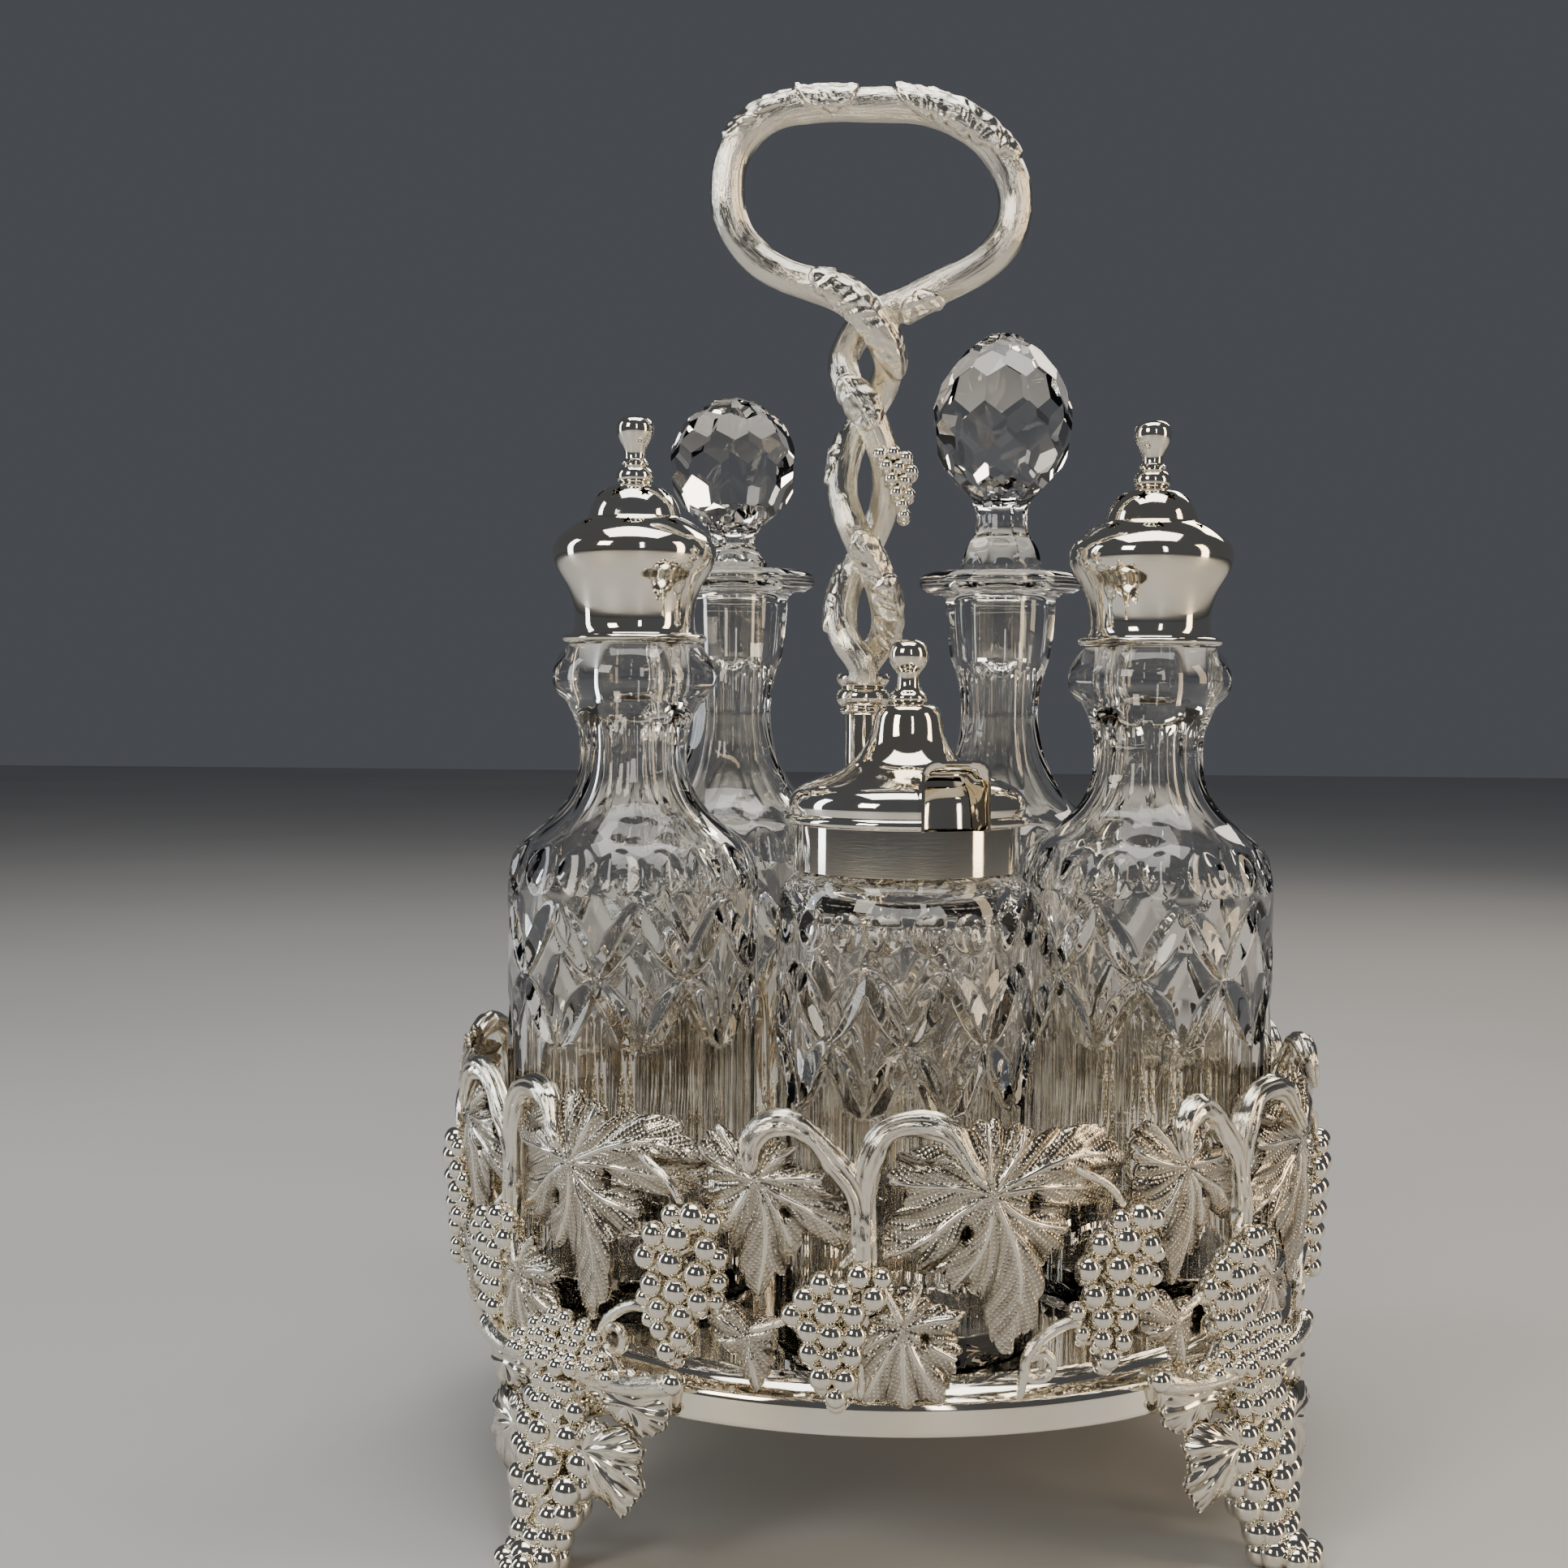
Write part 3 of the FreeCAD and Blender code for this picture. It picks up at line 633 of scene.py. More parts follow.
def cap_pieces():
    for side in ("left", "right"):
        body = side + "_caster_cap"
        place = axis_of(body)
        z = place[2]
        outside = [[(13.0, 0.15), (13.45, 0.75), (13.1, 1.4), (12.4, 1.6)], (11.6, 1.75),
                   [(11.2, 2.6), (11.05, 4.5), (11.35, 7.0), (11.95, 9.2), (12.75, 11.0), (13.8, 12.7),
                    (14.7, 14.4), (15.1, 16.2), (15.05, 17.6), (14.3, 19.1), (12.9, 20.5), (11.0, 21.9),
                    (9.3, 22.8)],
                   (8.65, 23.1), (8.5, 23.6), [(8.05, 25.0), (7.0, 26.9), (5.4, 28.4)], (3.4, CAP_TOP),
                   (0, CAP_TOP)]
        inside = [(0, 28.5), (3.6, 28.5), [(6.1, 26.6), (7.3, 24.9), (7.8, 23.2)], (8.6, 22.4),
                  [(10.5, 21.4), (13.2, 19.2), (14.4, 17.2), (14.4, 15.8), (13.0, 12.9), (11.3, 9.8),
                   (10.05, 7.6)]]
        cap = lathe(side + "_cap_shell", lift(inside + [(10.05, 0), (12.4, 0)] + outside, z), SILVER, place,
                    segments=192, step=0.5)
        combine(cap, stars(place, [(11.0, z + 21.9, 55, 0), (6.5, z + 27.4, 52, 22.5)]), "DIFFERENCE")
        keep_crisp(cap, SHARP_TURNED)
        silver(cap, body, body)
        z += CAP_TOP
        finial = lathe(side + "_cap_finial", [
            (0, z), (2.6, z), [(3.25, z + 0.6), (3.45, z + 1.6), (3.1, z + 2.6), (2.3, z + 3.3)],
            (2.1, z + 3.45), [(2.55, z + 3.95), (2.1, z + 4.45)], [(1.95, z + 5.2), (2.1, z + 6.2),
            (2.5, z + 7.3)],
            [(3.3, z + 8.9), (3.5, z + 10.3), (3.0, z + 11.7), (1.6, z + 12.5), (0, z + 12.7)]],
            SILVER, place, segments=64, step=0.3)
        silver(finial, body, side + "_caster_finial")


def stem_pieces():
    x = STEM_X
    low = extent("handle_socket")[0][2]
    high = extent("handle_socket")[1][2]
    knop = lathe("stem_knop", [
        (0, low), (4.0, low), [(4.5, low + 0.7), (4.0, low + 1.4)],
        [(4.9, low + 2.2), (5.2, low + 3.3), (4.9, low + 4.4), (4.1, low + 5.2)],
        [(4.8, low + 6.0), (5.2, low + 7.0), (4.8, high)], (0, high)], SILVER, (x, 0), segments=96, step=0.3)
    silver(knop, "root", "handle_socket")
    stem = lathe("stem", [
        (0, FLOOR_Z), (8.0, FLOOR_Z), (8.0, FLOOR_Z + 1.2),
        [(5.6, FLOOR_Z + 2.2), (4.1, FLOOR_Z + 4.6), (3.4, FLOOR_Z + 8)], (3.4, low), (0, low)],
        SILVER, (x, 0), segments=64)
    silver(stem, "root", "stem_tube")


# ---------------------------------------------------------------- mustard pot metal
NOTCH_AT = -70.0         # direction of the spoon notch, in degrees
ARCH_POINTS = 33
TONGUE_POINTS = 15
LID_TOP = 20.2           # height of the lid above its lower edge


def notch_frame(points, place):
    """Points given as (out, across, up) from the pot's axis and the lid's lower edge."""
    turn = math.radians(NOTCH_AT)
    out = np.array([math.cos(turn), math.sin(turn), 0])
    across = np.array([-math.sin(turn), math.cos(turn), 0])
    p = np.asarray(points, float)
    return np.array(place) + p[:, :1] * out + p[:, 1:2] * across + p[:, 2:3] * np.array([0, 0, 1.0])


def arch(out, grow, rise_by):
    """Cross-section of the spoon opening: up one wall, over and down the other."""
    half, high, corner = 4.6 + grow, 8.4 + grow + rise_by, 2.2
    path = [(half, -0.2 + 0.2 * rise_by), (half, high - corner)]
    path += [(half - corner + corner * math.cos(a), high - corner + corner * math.sin(a))
             for a in np.linspace(0, math.pi / 2, 7)[1:]]
    path += [(-y, z) for y, z in path[::-1]]
    path = np.array(path)
    steps = distances(path)
    at = np.linspace(0, steps[-1], ARCH_POINTS)
    return [(out, np.interp(s, steps, path[:, 0]), np.interp(s, steps, path[:, 1])) for s in at]


def spoon_hood(place):
    """Folded-up hood of the spoon notch, a little flared at its lip."""
    stations = [(13.5, 0.0, 0.0), (16.0, 0.0, 0.1), (18.5, 0.05, 0.3), (20.4, 0.2, 0.7), (21.6, 0.55, 1.25),
                (22.2, 0.85, 1.7)]
    inner, outer = [], []
    for out, grow, rise_by in stations:
        inner += arch(out, grow, rise_by)
        outer += arch(out - 0.12, grow + 0.55, rise_by)
    faces = sheet_faces(len(stations), ARCH_POINTS)
    return make_object("spoon_hood", notch_frame(inner + outer, place), faces, SILVER, SHARP_SHEET)


def spoon_tongue(place):
    """Curved sheet behind the spoon opening, bent down from the lid."""
    curve = spline([(13.6, 8.3), (15.4, 6.6), (16.6, 4.2), (17.2, 1.8), (17.4, 0.2)], 0.4)
    half = 4.5
    front, back = [], []
    for out, up in curve:
        for across in np.linspace(-half, half, TONGUE_POINTS):
            bow = 0.9 * (1 - (across / half) ** 2)
            front.append((out - bow, across, up))
            back.append((out - bow - 0.5, across, up))
    faces = sheet_faces(len(curve), TONGUE_POINTS, turned=True)
    return make_object("spoon_tongue", notch_frame(front + back, place), faces, SILVER, SHARP_SHEET)


def notch_cutter(place):
    """Block of the opening's shape that cuts the notch out of the lid."""
    inner, outer = 14.6, 26.0
    section = [(out, w, h) for out in (inner, outer) for _, w, h in arch(0, 0.0, 0.0)]
    ring = np.arange(ARCH_POINTS)
    after = (ring + 1) % ARCH_POINTS
    faces = [ring[::-1].tolist(), (ring + ARCH_POINTS).tolist()]
    faces += np.stack([ring, after, after + ARCH_POINTS, ring + ARCH_POINTS], -1).tolist()
    deep = [(o, w, h - 1.2 if h < 0 else h) for o, w, h in section]
    return make_object("notch_cutter", notch_frame(deep, place), faces, SILVER, smooth=False)


def bell_lid(place):
    """The lid's domed shell with its spoon notch cut out."""
    x, y, z = place
    lid = lathe("mustard_bell_lid", [
        (0, z + 19.4), (4.0, z + 19.2),
        [(4.7, z + 18.6), (5.4, z + 15.9), (6.7, z + 12.6), (9.0, z + 9.8), (12.5, z + 7.9),
         (16.1, z + 6.3), (18.4, z + 4.9), (19.0, z + 3.4)], (18.4, z + 1.5), (18.4, z),
        (20.2, z), [(20.75, z + 0.3), (20.9, z + 0.9), (20.5, z + 1.6)], (20.0, z + 1.9),
        [(20.2, z + 3.3), (19.5, z + 5.2), (16.8, z + 7.0), (13.0, z + 8.6), (9.6, z + 10.4),
         (7.4, z + 13.0), (6.1, z + 16.2), (5.4, z + 19.0), (4.9, z + 19.8)],
        (4.0, z + LID_TOP), (0, z + LID_TOP)], SILVER, (x, y), segments=192)
    combine(lid, notch_cutter(place), "DIFFERENCE")
    keep_crisp(lid, SHARP_TURNED)
    return lid


def lid_knuckle(place):
    """The lid's hinge barrel and the strap that joins it to the lid."""
    x, y, _ = place
    pin_low, pin_high = extent("mustard_hinge_pin")
    hinge = (pin_low + pin_high) / 2
    inward = np.array([x, y, hinge[2]]) - hinge
    inward = inward / np.linalg.norm(inward)
    along = np.array([-inward[1], inward[0], 0])
    knuckle = [hinge - along * 1.7, hinge - along * 0.8, hinge + along * 0.8, hinge + along * 1.7]
    strap = [hinge + inward * reach + [0, 0, up] for reach, up in ((0.6, 0.9), (1.8, 1.0), (3.2, 1.2))]
    parts = [branch(knuckle, (1.5, 1.5), 32, 0.0, 0, 0.2), branch(strap, (0.8, 0.9), 20, 0.0, 0, 0.3)]
    return join_parts("lid_knuckle", parts, SILVER, 60)


def mustard_metal():
    x, y, _ = axis_of("mustard_glass")
    place = (x, y, extent("mustard_glass")[1][2] + 0.7)
    silver(bell_lid(place), "mustard_lid", "mustard_lid")
    silver(spoon_hood(place), "mustard_lid", "mustard_lid")
    silver(spoon_tongue(place), "mustard_lid", "mustard_lid")
    silver(lid_knuckle(place), "mustard_lid", "mustard_lid")
    top = place[2] + LID_TOP
    finial = lathe("mustard_finial", [
        (0, top), (2.8, top), [(3.3, top + 1.1), (2.4, top + 2.3)], [(1.9, top + 3.6), (2.0, top + 5.4)],
        [(3.1, top + 7.0), (3.4, top + 8.6), (2.6, top + 10.4), (1.0, top + 11.0), (0, top + 11.1)]],
        SILVER, (x, y), segments=64, step=0.3)
    silver(finial, "mustard_lid", "mustard_lid_finial")


# ---------------------------------------------------------------- cast vine work
PITCH = 360.0 / PANELS


def ring_point(degrees, z, radius):
    turn = math.radians(degrees)
    return np.array([radius * math.cos(turn), radius * math.sin(turn), z])


def on_gallery(points):
    """Points given as (degrees round, height, radius)."""
    return [ring_point(a, z, r) for a, z, r in points]


def reach_of(outline, turns):
    """Distance from the middle to a closed outline in each direction."""
    p = np.array(outline, float)
    q = np.roll(p, -1, axis=0)
    reach = np.zeros(len(turns))
    for k, turn in enumerate(turns):
        d = np.array([math.cos(turn), math.sin(turn)])
        e = q - p
        cross = d[0] * e[:, 1] - d[1] * e[:, 0]
        cross = np.where(np.abs(cross) < 1e-9, 1e-9, cross)
        t = (p[:, 0] * e[:, 1] - p[:, 1] * e[:, 0]) / cross
        s = (p[:, 0] * d[1] - p[:, 1] * d[0]) / cross
        hit = t[(s >= 0) & (s <= 1) & (t > 0)]
        reach[k] = hit.max() if len(hit) else 0.5
    return reach


def vein_field(veins, x, z):
    """For each point: its vein, place along it, distance from it, from the next one, and its side."""
    near = np.full(x.shape, 1e9)
    after = np.full(x.shape, 1e9)
    along = np.zeros(x.shape)
    which = np.zeros(x.shape, int)
    side = np.zeros(x.shape)
    for k, vein in enumerate(veins):
        line = spline([(0.0, 0.0)] + vein, 1.0)
        steps = distances(line)
        best = np.full(x.shape, 1e9)
        place = np.zeros(x.shape)
        hand = np.zeros(x.shape)
        for (ax, az), (bx, bz), s0, s1 in zip(line, line[1:], steps, steps[1:]):
            ux, uz = bx - ax, bz - az
            t = np.clip(((x - ax) * ux + (z - az) * uz) / (ux * ux + uz * uz), 0, 1)
            d = np.hypot(x - ax - t * ux, z - az - t * uz)
            closer = d < best
            best = np.where(closer, d, best)
            place = np.where(closer, s0 + t * (s1 - s0), place)
            hand = np.where(closer, np.sign(ux * (z - az) - uz * (x - ax)), hand)
        past = best < near
        after = np.where(past, near, np.minimum(after, best))
        near = np.where(past, best, near)
        along = np.where(past, place, along)
        which = np.where(past, k, which)
        side = np.where(past, hand, side)
    return which, along, near, after, side


PLEAT_LEAN = math.radians(26)
LEAF_WRAP_R = 80.0       # radius round which a leaf's width is laid
LEAF_THICK = 0.8
DOT_PITCH = 0.70


def pleat_rows(t, d):
    """Distance across the pleats, which lean from each vein."""
    return t * math.sin(PLEAT_LEAN) - d * math.cos(PLEAT_LEAN)


def leaf_edge(outline, veins, turns, pleat):
    """Reach of a leaf in each direction, notched between pleats, and a scale for small leaves."""
    edge = reach_of(outline, turns)
    small = float(np.clip(edge.mean() / 12, 0.5, 1))
    _, t, d, _, _ = vein_field(veins, edge * np.cos(turns), edge * np.sin(turns))
    row = pleat_rows(t, d) / pleat
    notch = 1.25 * small * (1 - np.abs(np.sin(math.pi * row))) ** 1.4 * np.clip(edge / 6, 0.2, 1)
    return edge - notch, small


def leaf_relief(veins, x, z, s, small, seed, pits, pleat, dome, curl):
    """Height, wear with painted shade in creases and pits, and dot coordinates over a leaf; s runs from its
    middle to its edge.
    """
    dice = np.random.default_rng(seed)
    which, t, d, d2, side = vein_field(veins, x, z)
    across = pleat_rows(t, d)
    row = across / pleat
    far = np.hypot(x, z)
    open_up = smoothstep(1.0, 5.0, far)
    wave = np.sin(math.pi * row) ** 2
    spread = np.clip(d / 1.1, 0, 1) * open_up
    rib = np.exp(-(d / 0.42) ** 2) * (1 - 0.5 * np.clip(t / 22, 0, 1)) * np.clip(0.35 + open_up, 0, 1)
    off_row = np.abs(row - np.round(row)) * pleat
    thin_rib = np.exp(-(off_row / 0.20) ** 2) * spread * (1 - 0.4 * s)
    crease = np.exp(-((d2 - d) / (1.2 * small)) ** 2) * smoothstep(0.45, 0.9, s)
    height = 0.62 * rib + small * (0.26 * wave * spread - 0.45 * crease) + 0.17 * thin_rib
    tilt = dice.uniform(-1.1, 0.9, len(veins))[which]
    twist = dice.uniform(0.35, 0.8, len(veins)) * np.where(np.arange(len(veins)) % 2, 1, -1)
    blend = np.clip((d2 - d) / 2.2, 0, 1)
    height += tilt * blend * (far / 20) ** 1.2 * curl
    height += small * twist[which] * side * np.clip(d / 3.0, 0, 1) * blend * open_up
    height += dome * (1 - (far / 20) ** 1.5) - 0.9 * curl * s ** 5
    height += 0.12 * np.sin(0.9 * x + 1.1 * seed) * np.sin(0.8 * z + seed)
    hollow = np.zeros(x.shape)
    for px, pz, pr in pits:
        hollow += np.exp(-(((x - px) / pr) ** 2 + ((z - pz) / (1.5 * pr)) ** 2))
    height -= 1.6 * hollow
    # Lighter on the raised ribs as wear; darker in creases and pits as painted shade, partly oxide in the
    # hollows.
    wear_and_recess_shade = 0.56 + 0.6 * rib + 0.06 * wave * spread + 0.34 * thin_rib - 0.4 * crease - 0.8 * hollow
    down = t * math.cos(PLEAT_LEAN) + d * math.sin(PLEAT_LEAN) + 7.3 * which
    return height, np.clip(wear_and_recess_shade, 0, 1), np.stack([across, down], -1) / DOT_PITCH


def leaf_faces(rows, rounds):
    """Front and back of a leaf, joined round its edge and closed in its middle."""
    count = rows * rounds
    faces = grid_faces(rows, rounds)
    faces += [f[::-1] for f in grid_faces(rows, rounds, True, count)]
    last = (rows - 1) * rounds
    ring = np.arange(rounds)
    after = (ring + 1) % rounds
    faces += np.stack([last + ring, count + last + ring, count + last + after, last + after], -1).tolist()
    return faces + [ring[::-1].tolist(), (count + ring).tolist()]


def leaf_piece(outline, veins, place, size=(300, 46), rise=80.6, seed=0, pits=(), pleat=2.5, dome=1.7,
               curl=1.0):
    """A pleated vine leaf. Returns points, faces, dot coordinates and a value per point of wear and painted
    shade.
    """
    rounds, rows = size
    turns = np.arange(rounds) * 2 * math.pi / rounds
    edge, small = leaf_edge(outline, veins, turns, pleat)
    share = np.linspace(0.02, 1, rows)
    x = (share[:, None] * edge * np.cos(turns)).ravel()
    z = (share[:, None] * edge * np.sin(turns)).ravel()
    s = np.repeat(share, rounds)
    height, wear_and_recess_shade, dots = leaf_relief(veins, x, z, s, small, seed, pits, pleat, dome, curl)
    angle = np.tile(np.radians(place[0]) + x / LEAF_WRAP_R, 2)
    column = np.concatenate([rise + height, rise - LEAF_THICK + 0.8 * height])
    heights = np.tile(z + place[1], 2)
    points = np.stack([column * np.cos(angle), column * np.sin(angle), heights], -1)
    return points, leaf_faces(rows, rounds), np.tile(dots, (2, 1)), np.tile(wear_and_recess_shade, 2)


def join_parts(name, parts, material, sharp=None):
    """One object from several (points, faces, dot coordinates, wear and painted shade) parts."""
    points, faces, rows, wear_and_recess_shade = [], [], [], []
    start = 0
    for part in parts:
        pts, fcs = part[0], part[1]
        points.append(pts)
        faces += [[i + start for i in face] for face in fcs]
        rows.append(part[2] if len(part) > 2 else np.zeros((len(pts), 2)))
        wear_and_recess_shade.append(part[3] if len(part) > 3 else np.full(len(pts), 0.75))
        start += len(pts)
    piece = make_object(name, np.concatenate(points), faces, material, sharp)
    mesh = piece.data
    rows = np.concatenate(rows)
    wear_and_recess_shade = np.concatenate(wear_and_recess_shade)
    corner = np.zeros(len(mesh.loops), int)
    mesh.loops.foreach_get("vertex_index", corner)
    layer = mesh.uv_layers.new(name="rows")
    layer.data.foreach_set("uv", rows[corner].astype(np.float32).ravel())
    attribute = mesh.attributes.new("wear_and_recess_shade", "FLOAT", "POINT")
    attribute.data.foreach_set("value", wear_and_recess_shade.astype(np.float32))
    return piece


def balls(centres, radii, segments=20):
    """Round grapes as one part."""
    rows = segments // 2
    up = np.linspace(-math.pi / 2, math.pi / 2, rows + 1)[1:-1]
    turn = np.arange(segments) * 2 * math.pi / segments
    unit = np.stack([np.cos(up)[:, None] * np.cos(turn), np.cos(up)[:, None] * np.sin(turn),
                     np.sin(up)[:, None] * np.ones(segments)], -1).reshape(-1, 3)
    unit = np.concatenate([unit, [[0, 0, -1], [0, 0, 1]]])
    side = grid_faces(rows - 1, segments)
    side += tip_fan(len(unit) - 2, 0, segments, low=True)
    side += tip_fan(len(unit) - 1, (rows - 2) * segments, segments)
    points, faces = [], []
    for k, (centre, radius) in enumerate(zip(centres, radii)):
        start = k * len(unit)
        points.append(np.asarray(centre) + unit * radius)
        faces += [[i + start for i in face] for face in side]
    points = np.concatenate(points)
    return points, faces, np.zeros((len(points), 2)), np.full(len(points), 0.9)


def bark(depth, seed=0):
    """Long ridges, slow swelling and a few knots along a branch."""
    dice = np.random.default_rng(seed)
    shift = dice.uniform(0, 6, 6)

    def ridges(along, turn):
        slow = np.sin(0.45 * along + shift[0]) + 0.6 * np.sin(0.19 * along + shift[1])
        wander = 0.7 * np.sin(0.17 * along + shift[2])
        fine = np.abs(np.sin(3.5 * turn + wander + shift[3])) ** 0.8 - 0.5
        finer = np.sin(9 * turn - 1.4 * wander + 0.6 * np.sin(0.7 * along + shift[4]))
        knots = np.clip(np.sin(0.61 * along + shift[5]) * np.sin(turn + 0.4 * along), 0.4, 1) - 0.4
        return depth * (0.6 * fine + 0.25 * finer + 0.45 * slow + 0.8 * knots)

    return ridges


def branch(points, radius, segments=26, depth=0.16, seed=0, step=0.4):
    """Swept branch with rounded ends; radius is one number or several spread along it."""
    path = spline(points, step)
    steady = np.ravel(radius)
    radii = np.interp(np.linspace(0, 1, len(path)), np.linspace(0, 1, len(steady)), steady)
    close = np.minimum(np.arange(len(path)), np.arange(len(path))[::-1]) * step
    radii = radii * np.sqrt(np.clip(1 - (1 - np.clip(close / radii.mean(), 0.02, 1)) ** 2, 0.05, 1))
    grid, rows, places = sweep(path, radii, segments, bark(depth, seed))
    return grid, capped(rows, segments), places, np.full(len(grid), 0.72)


RIGHT_ARCH = [(0, 34.0, 79.6), (0, 50, 79.6), (0.1, 63, 79.6), (0.5, 71, 79.7), (2.4, 76.6, 79.9),
              (6.2, 78.3, 80.3), (9.8, 76.8, 81.2), (11.6, 73.0, 82.4), (13.0, 69.8, 83.2)]
LEFT_ARCH = [(0, 58, 79.6), (-0.9, 67, 79.7), (-4.4, 73.6, 79.9), (-8.4, 77.9, 80.4), (-11.2, 77.2, 81.2),
             (-12.6, 73.8, 82.0), (-12.5, 70.2, 82.8)]

BIG_LEAF = [(0.4, 12.3), (2.4, 10.8), (5.8, 11.6), (7.2, 8.7), (11.3, 9.8), (15.6, 9.8), (20.2, 9.8),
            (21.4, 7.4), (24.0, 5.4), (26.0, 1.2), (22.2, -2.6), (18.6, -3.8), (12.8, -2.8), (13.8, -6.0),
            (12.3, -9.9), (9.0, -10.6), (8.7, -15.2), (8.0, -20.0), (6.8, -23.5), (5.2, -22.6), (4.1, -26.0),
            (2.4, -26.4), (0.7, -24.7), (-0.4, -21.3), (-1.6, -17.0), (-3.4, -14.6), (-6.4, -16.2),
            (-7.6, -12.6), (-11.6, -12.6), (-11.6, -9.4), (-16.9, -11.3), (-17.2, -7.7), (-16.0, -3.8),
            (-13.0, -0.4), (-17.1, 2.3), (-15.5, 4.1), (-14.5, 6.5), (-11.0, 7.4), (-8.1, 8.4),
            (-5.2, 8.4), (-3.7, 10.9), (-1.4, 12.2)]
BIG_VEINS = [[(7.5, 3.6), (15, 5.4), (24, 4.2)], [(2.2, 3.6), (4.0, 6.6), (5.6, 11.0)],
             [(6.0, -4.4), (13, -6.6)], [(2.7, -6.0), (4.8, -15.0), (2.8, -26)],
             [(-0.4, -5.7), (-2.4, -10.8), (-6.4, -15.6)], [(-5.7, -3.2), (-9.4, -6.6), (-16.6, -10.4)],
             [(-6.4, 1.4), (-11.5, 1.5), (-17, 2.3)], [(-2.6, 3.4), (-7.0, 7.6), (-12, 7.8)],
             [(-0.6, 5.0), (-0.8, 12.0)], [(9.0, 0.6), (17, -0.2), (25, 0.8)]]
MEDIUM_LEAF = [(-6.8, 8.2), (-3.6, 6.0), (-1.9, 7.6), (-0.2, 4.6), (3.0, 6.6), (6.4, 5.4), (5.2, 2.6),
               (10.7, 1.4), (10.2, -0.6), (13.2, -2.3), (14.6, -6.0), (14.8, -10.1), (13.4, -11.6),
               (8.0, -8.4), (6.4, -11.2), (4.1, -15.5), (1.8, -16.4), (0.8, -19.2), (-0.8, -20.4),
               (-2.0, -17.4), (-3.8, -13.2), (-5.0, -9.8), (-8.6, -8.2), (-10.2, -3.6), (-9.2, 0.4),
               (-10.6, 4.6), (-9.0, 7.2)]
MEDIUM_VEINS = [[(-3.0, 3.4), (-6.4, 7.6)], [(2.6, 3.0), (6.0, 5.2)], [(5.4, 0.6), (10.5, 0.4)],
                [(4.0, -2.4), (9.4, -5.4), (14.2, -10.0)], [(1.4, -5.6), (1.4, -11), (-0.4, -19.6)],
                [(-2.4, -3.6), (-5.6, -7.6), (-8.0, -8.4)], [(-5.0, 1.2), (-10.2, 3.6)],
                [(3.0, -4.2), (5.2, -10.4)]]
SMALL_LEAF = [(-3.2, 2.6), (-1.4, 5.2), (0.2, 5.4), (2.4, 7.0), (3.4, 5.0), (6.2, 3.6), (10.0, 2.2),
              (8.2, -0.8), (9.4, -3.6), (8.6, -6.2), (7.6, -9.0), (6.6, -12.6), (3.0, -11.8),
              (1.0, -13.6), (-2.2, -12.0),
              (-6.3, -12.6), (-6.2, -9.6), (-8.6, -7.8), (-6.8, -4.4), (-7.6, -1.2), (-5.4, 1.2)]
SMALL_VEINS = [[(4.0, 1.2), (9.2, 1.2)], [(1.0, 3.0), (2.6, 6.2)], [(4.0, -2.6), (8.6, -5.4)],
               [(2.4, -5.6), (5.6, -11.6)], [(0.0, -6.0), (0.6, -12.8)], [(-2.6, -4.6), (-5.8, -11.6)],
               [(-3.6, -1.6), (-7.8, -5.6)], [(-2.2, 1.6), (-4.0, 2.4)]]
CURLED_LEAF = [(-5.6, 5.0), (-2.4, 5.4), (0.4, 3.0), (4.2, 3.4), (4.8, 0.0), (4.4, -3.4), (3.0, -7.0),
               (1.4, -9.0), (-0.6, -7.0), (-1.6, -3.6), (-4.0, -3.2), (-6.6, -1.0), (-7.2, 2.6)]
CURLED_VEINS = [[(-2.6, 1.4), (-6.0, 3.4)], [(-1.8, -0.6), (-5.6, -1.4)], [(0.8, -3.4), (1.6, -8.2)],
                [(2.2, 0.6), (4.2, 1.6)]]

# Grapes of the two bunches: across, height, radius.
BUNCH_A = [(3.0, 62.2, 2.0), (6.2, 61.4, 1.6), (0.4, 58.7, 2.15), (-4.2, 58.4, 1.85), (5.2, 57.2, 1.85),
           (-1.0, 54.2, 2.05), (-6.0, 54.4, 1.85), (3.6, 52.8, 1.95), (7.2, 55.6, 1.5), (7.0, 51.6, 1.4),
           (-4.8, 50.0, 1.85), (0.0, 49.7, 1.95), (3.8, 48.4, 1.75), (-3.4, 46.2, 1.7), (1.0, 45.6, 1.8),
           (-7.2, 47.2, 1.4), (-3.3, 42.8, 1.6), (0.5, 42.0, 1.5), (-6.2, 43.7, 1.25), (-2.0, 39.4, 1.65),
           (6.6, 48.4, 1.3), (-0.8, 62.0, 1.5)]
BUNCH_B = [(-1.8, 53.2, 1.7), (4.0, 54.6, 1.7), (1.4, 51.8, 1.7), (-4.4, 50.6, 1.8), (6.3, 51.0, 1.9),
           (7.6, 54.2, 1.5), (-0.8, 48.8, 1.95), (3.2, 48.6, 1.8), (-6.5, 47.7, 1.7), (-3.8, 45.5, 1.8),
           (-0.2, 44.9, 1.9), (3.5, 45.1, 1.8), (-3.6, 41.9, 1.7), (-0.2, 41.3, 1.7), (3.0, 41.9, 1.7),
           (-1.8, 38.0, 1.8), (1.9, 37.8, 1.85), (0.5, 34.9, 1.6)]


BUNCH_SWELL = 1.17       # grapes are this much larger than in the tables


